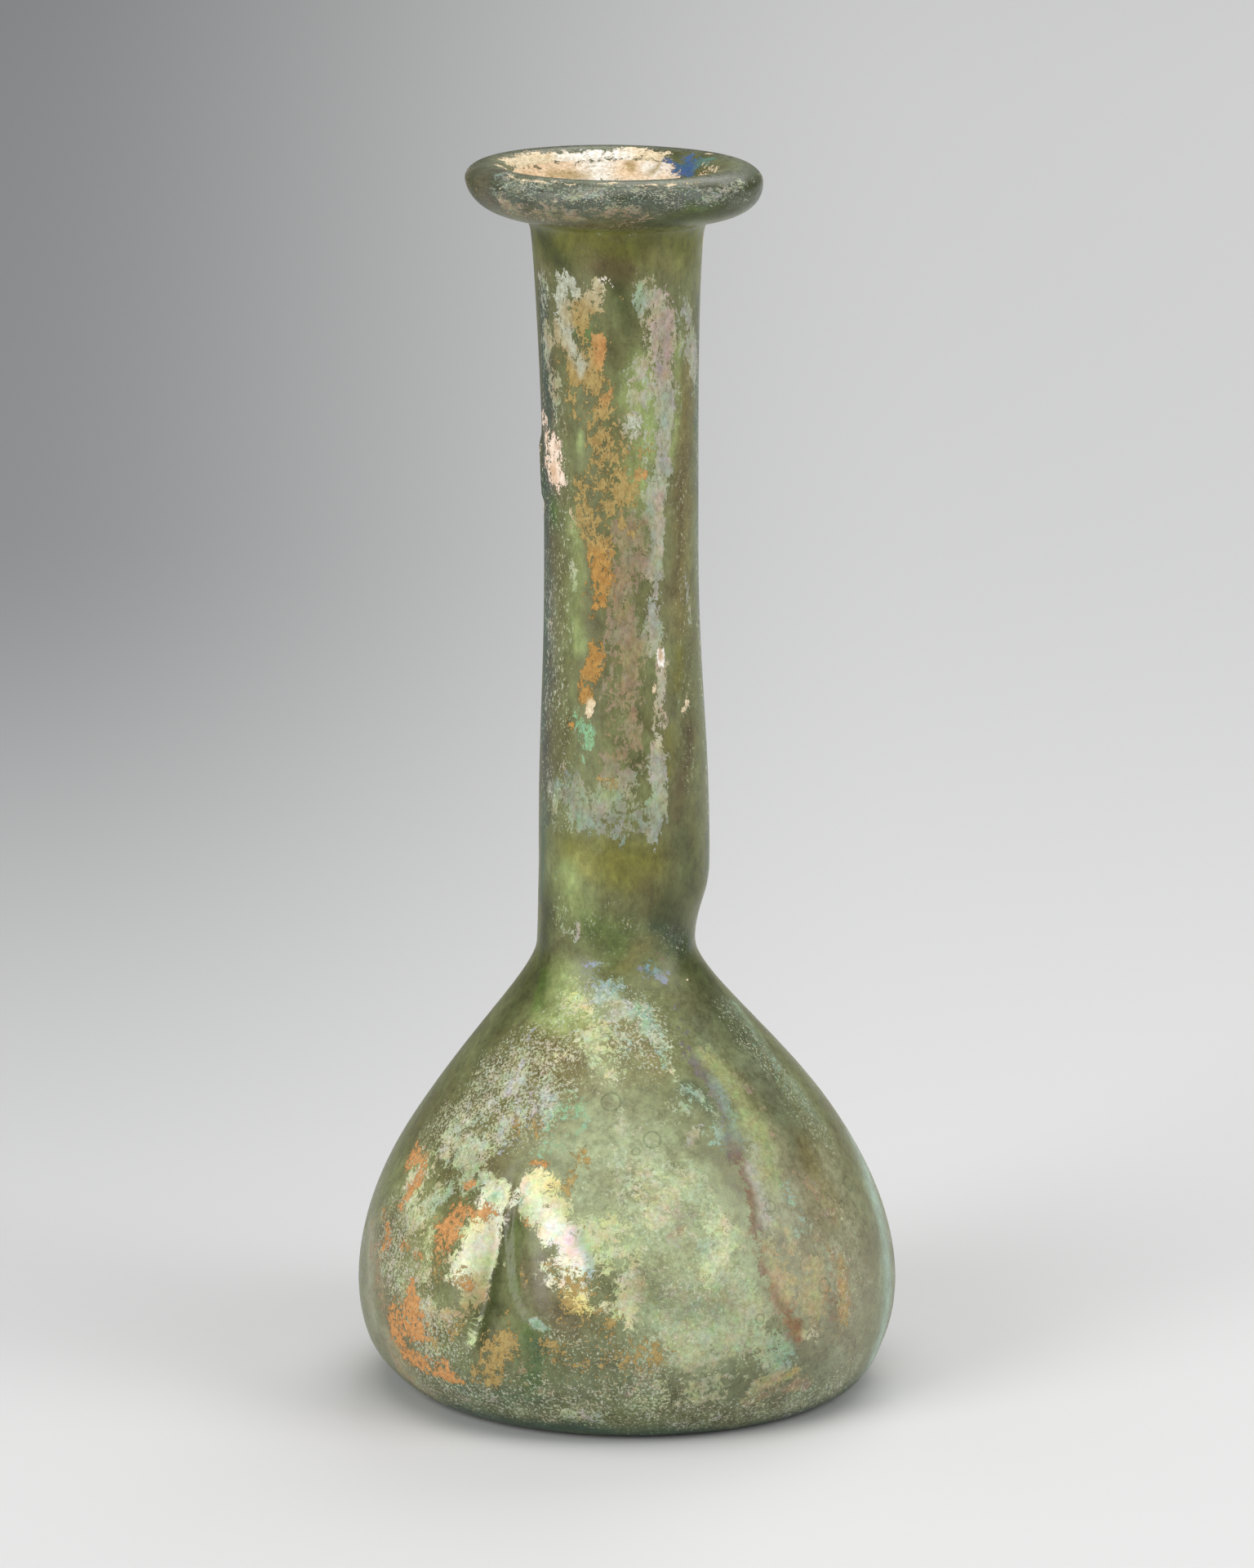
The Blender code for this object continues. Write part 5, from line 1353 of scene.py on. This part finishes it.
def weathered_green_glass(bubbles):
    """Free-blown soda glass, coloured green by iron and long buried.

    It was smooth and clear. Its skin has turned to layers that flake: clear glossy patches show
    where it is sound, pearly and coloured ones where thin layers are left, a matte film and
    pale specks over most of it, and rough earthy crust on top.
    """
    material = bpy.data.materials.new("weathered_green_glass")
    material.use_nodes = True
    tree = material.node_tree
    shader = tree.nodes["Principled BSDF"]
    place = add(tree, "ShaderNodeTexCoord").outputs["Object"]
    drawn = drawn_out(tree, place)

    # Each pattern's size in millimetres, how many times half as large grains are added to it,
    # how strong those are, and how far it swirls.
    patterns = {}
    for name, size, detail, grain, swirl in (
        ("clouds", 6.0, 4.0, 0.65, 0.6),
        ("mottle", 1.0, 4.0, 0.78, 0.0),
        ("stain", 2.2, 5.0, 0.78, 0.0),
        ("shimmer", 1.4, 3.0, 0.7, 0.0),
        ("clusters", 3.0, 2.0, 0.6, 0.0),
        ("dirt", 0.5, 3.0, 0.78, 0.0),
        ("pearl", 1.0, 3.0, 0.88, 0.6),
        ("film", 0.8, 3.0, 0.92, 0.4),
        ("speckle", 0.30, 2.0, 0.80, 0.2),
        ("crust", 0.7, 3.0, 0.90, 0.3),
    ):
        inputs = {
            "Vector": drawn,
            "Scale": 1 / (size * MM),
            "Detail": detail,
            "Roughness": grain,
            "Distortion": swirl,
        }
        patterns[name] = add(tree, "ShaderNodeTexNoise", inputs)

    # The glass is cloudy, in patches where it is darker and browner or lighter and greener. It
    # is mottled, as pitted glass is, and has a brown stain in finely broken patches.
    surface = add(tree, "ShaderNodeAttribute", attribute_name="ground")
    for name, low, high in (
        ("clouds", (0.84, 0.79, 0.76), (1.16, 1.19, 1.22)),
        ("mottle", (0.80, 0.80, 0.80), (1.22, 1.22, 1.22)),
        ("stain", (1.12, 1.12, 1.12), (0.86, 0.80, 0.74)),
    ):
        surface = varied(tree, surface, patterns[name], low, high)
    rough = add(
        tree,
        "ShaderNodeMapRange",
        {
            "Value": patterns["mottle"],
            "From Min": NOISE_LOW,
            "From Max": NOISE_HIGH,
            "To Min": SMOOTHEST,
            "To Max": ROUGHEST,
        },
    )
    height = add(
        tree, "ShaderNodeMath", {0: patterns["mottle"], 1: PIT_DEPTH}, operation="MULTIPLY"
    )

    # Each layer: how strongly it gathers into clusters, how soft its edges are, how solid and
    # how rough it is, how thick in millimetres, and how dark and how light the dirt makes it.
    for name, bunch, soft, solid, gloss, thick, low, high in (
        # The pearl layer holds painted highlights as well as pearly skin.
        ("pearl", 0.9, 0.26, 0.88, 0.22, 0.006, (0.88, 0.85, 0.78), 1.12),
        ("film", 1.5, 0.09, 0.82, 0.46, 0.012, (0.80, 0.75, 0.66), 1.22),
        ("speckle", 0.6, 0.14, 0.68, 0.55, 0.006, (0.84, 0.80, 0.72), 1.20),
        ("crust", 0.9, 0.07, 0.94, 0.88, 0.045, (0.78, 0.69, 0.58), 1.20),
    ):
        layer = add(tree, "ShaderNodeAttribute", attribute_name=name).outputs
        clusters = patterns["clusters"]
        mask = ragged(tree, layer["Alpha"], patterns[name], clusters, bunch, soft, solid)
        hue = varied(tree, layer["Color"], patterns["dirt"], low, (high,) * 3)
        if name != "crust":
            # Thin layers turn the light pink, green or blue from place to place.
            shimmer = patterns["shimmer"].outputs["Color"]
            hue = varied(tree, hue, shimmer, (0.87, 0.90, 0.86), (1.13, 1.10, 1.16))
        surface = add(
            tree, "ShaderNodeMix", {0: mask, 6: surface, 7: hue}, data_type="RGBA"
        ).outputs[2]
        rough = add(tree, "ShaderNodeMix", {0: mask, 2: rough, 3: gloss})
        relief = add(
            tree,
            "ShaderNodeMath",
            {0: patterns["dirt"], 1: thick, 2: thick},
            operation="MULTIPLY_ADD",
        )
        height = add(
            tree, "ShaderNodeMath", {0: mask, 1: relief, 2: height}, operation="MULTIPLY_ADD"
        )

    # A seed shows as a faint raised ring, darker than the glass beside it.
    rings = seed_rings(tree, place, bubbles)
    surface = varied(tree, surface, rings, (1.0, 1.0, 1.0), (0.72, 0.76, 0.72))
    height = add(
        tree, "ShaderNodeMath", {0: rings, 1: RING_RISE, 2: height}, operation="MULTIPLY_ADD"
    )
    bump = add(tree, "ShaderNodeBump", {"Height": height, "Distance": MM})
    tree.links.new(surface.outputs[0], shader.inputs["Base Color"])
    tree.links.new(rough.outputs[0], shader.inputs["Roughness"])
    tree.links.new(bump.outputs[0], shader.inputs["Normal"])
    shader.inputs["IOR"].default_value = 1.5
    shader.inputs["Specular IOR Level"].default_value = 0.36
    return material


def matte_paper():
    """Matte white background paper, with painted shade: darker far back and to the left as the camera
    sees it.
    """
    material = bpy.data.materials.new("matte_paper")
    material.use_nodes = True
    tree = material.node_tree
    shader = tree.nodes["Principled BSDF"]
    place = add(tree, "ShaderNodeTexCoord").outputs["Object"]
    parts = add(tree, "ShaderNodeSeparateXYZ", {0: place}).outputs
    # Painted shade: the paper darkens far back and to the left, where less light falls.
    back = add(
        tree,
        "ShaderNodeMapRange",
        {"Value": parts["Y"], "From Min": -0.12, "From Max": 0.50},
        interpolation_type="SMOOTHSTEP",
    )
    depth = add(tree, "ShaderNodeMath", {0: parts["Y"], 1: CAMERA_DISTANCE}, operation="ADD")
    aside = add(tree, "ShaderNodeMath", {0: parts["X"], 1: depth}, operation="DIVIDE")
    side = add(
        tree,
        "ShaderNodeMapRange",
        {"Value": aside, "From Min": -0.09, "From Max": 0.04, "To Min": 0.75, "To Max": 0.14},
        interpolation_type="SMOOTHSTEP",
    )
    share = add(tree, "ShaderNodeMath", {0: back, 1: side}, operation="MULTIPLY")
    paper = add(
        tree,
        "ShaderNodeMix",
        {0: share, 6: (*linear("#D7D7D7"), 1), 7: (*linear("#606265"), 1)},
        data_type="RGBA",
    )
    tree.links.new(paper.outputs[2], shader.inputs["Base Color"])
    shader.inputs["Roughness"].default_value = 0.85
    shader.inputs["Specular IOR Level"].default_value = 0.2
    return material


class UNGUENTARIUM_OT_bottle(Operator):
    """Blow the bottle: turn its wall, bend it out of true and weather its skin"""

    bl_idname = "unguentarium.bottle"
    bl_label = "Glass Bottle"

    def execute(self, context):
        sizes = context.scene.unguentarium_sizes
        bottle = turn_wall(sizes)
        mesh = bottle.data
        points = np.empty(len(mesh.vertices) * 3)
        mesh.vertices.foreach_get("co", points)
        points = points.reshape(-1, 3)
        points = blown_places(sizes, points)
        paint(mesh, sizes, context.scene.unguentarium_colours, points)
        mesh.vertices.foreach_set("co", press_relief(sizes, points).ravel())
        mesh.update()
        bpy.ops.object.shade_smooth()
        bubbles = [
            (tuple(surface_places(sizes, ((degrees, height),))[0]), radius * MM)
            for degrees, height, radius in BUBBLES
        ]
        mesh.materials.append(weathered_green_glass(bubbles))
        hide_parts("glass_bottle")
        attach(bottle, "root")
        return {"FINISHED"}


class UNGUENTARIUM_OT_stage(Operator):
    """Set the paper, the soft boxes, the light of the backdrop and the camera"""

    bl_idname = "unguentarium.stage"
    bl_label = "Studio Stage"

    def execute(self, context):
        deselect_everything()
        bpy.ops.mesh.primitive_plane_add(size=6)
        sheet = context.object
        sheet.name = "floor_sheet"
        sheet.data.materials.append(matte_paper())
        for name, place, size, power in (
            ("soft_box_left", (-0.66, -0.58, 0.36), (0.5, 0.9), 6.6),
            ("soft_box_right", (0.80, -0.34, 0.45), (0.5, 0.9), 4.8),
            ("soft_box_over", (0.0, -0.1, 1.1), (0.9, 0.9), 5.8),
            ("backdrop_light", (0.55, 1.25, 1.1), (1.2, 1.2), 13),
        ):
            bpy.ops.object.light_add(type="AREA", location=place)
            light = context.object
            light.name = name
            light.data.shape = "RECTANGLE"
            light.data.size, light.data.size_y = size
            light.data.energy = power
            straight_down = name == "backdrop_light"
            aim = Vector((0, 0, -1)) if straight_down else Vector(BODY_MIDDLE) - Vector(place)
            light.rotation_euler = aim.to_track_quat("-Z", "Y").to_euler()
        world = bpy.data.worlds.new("studio_air")
        world.use_nodes = True
        air = world.node_tree.nodes["Background"]
        air.inputs["Color"].default_value = (*linear("#E8E8E8"), 1)
        air.inputs["Strength"].default_value = 0.24
        context.scene.world = world
        context.scene.view_settings.view_transform = "Standard"
        tilt = math.pi / 2 - CAMERA_PITCH
        bpy.ops.object.camera_add(
            location=(0, -CAMERA_DISTANCE, CAMERA_HEIGHT), rotation=(tilt, 0, 0)
        )
        camera = context.object
        camera.name = "photo_camera"
        camera.data.sensor_width = SENSOR
        camera.data.lens = PHOTO_FOCUS / PHOTO_HEIGHT * SENSOR
        camera.data.clip_start = 0.01
        context.scene.camera = camera
        return {"FINISHED"}


class UNGUENTARIUM_PT_sidebar(Panel):
    """Lists the bottle's sizes and colours and the operators that make it"""

    bl_label = "Unguentarium"
    bl_space_type = "VIEW_3D"
    bl_region_type = "UI"
    bl_category = "Unguentarium"

    def draw(self, context):
        for group in (context.scene.unguentarium_sizes, context.scene.unguentarium_colours):
            box = self.layout.box()
            for name in group.__annotations__:
                box.prop(group, name)
        for operator in OPERATORS:
            self.layout.operator(operator.bl_idname)


OPERATORS = (UNGUENTARIUM_OT_bottle, UNGUENTARIUM_OT_stage)
CLASSES = (UnguentariumSizes, UnguentariumColours, *OPERATORS, UNGUENTARIUM_PT_sidebar)


def register():
    for made in CLASSES:
        bpy.utils.register_class(made)
    bpy.types.Scene.unguentarium_sizes = PointerProperty(type=UnguentariumSizes)
    bpy.types.Scene.unguentarium_colours = PointerProperty(type=UnguentariumColours)


def unregister():
    del bpy.types.Scene.unguentarium_colours
    del bpy.types.Scene.unguentarium_sizes
    for made in reversed(CLASSES):
        bpy.utils.unregister_class(made)


def main():
    register()
    bpy.ops.unguentarium.bottle()
    bpy.ops.unguentarium.stage()


if __name__ == "__main__":
    main()
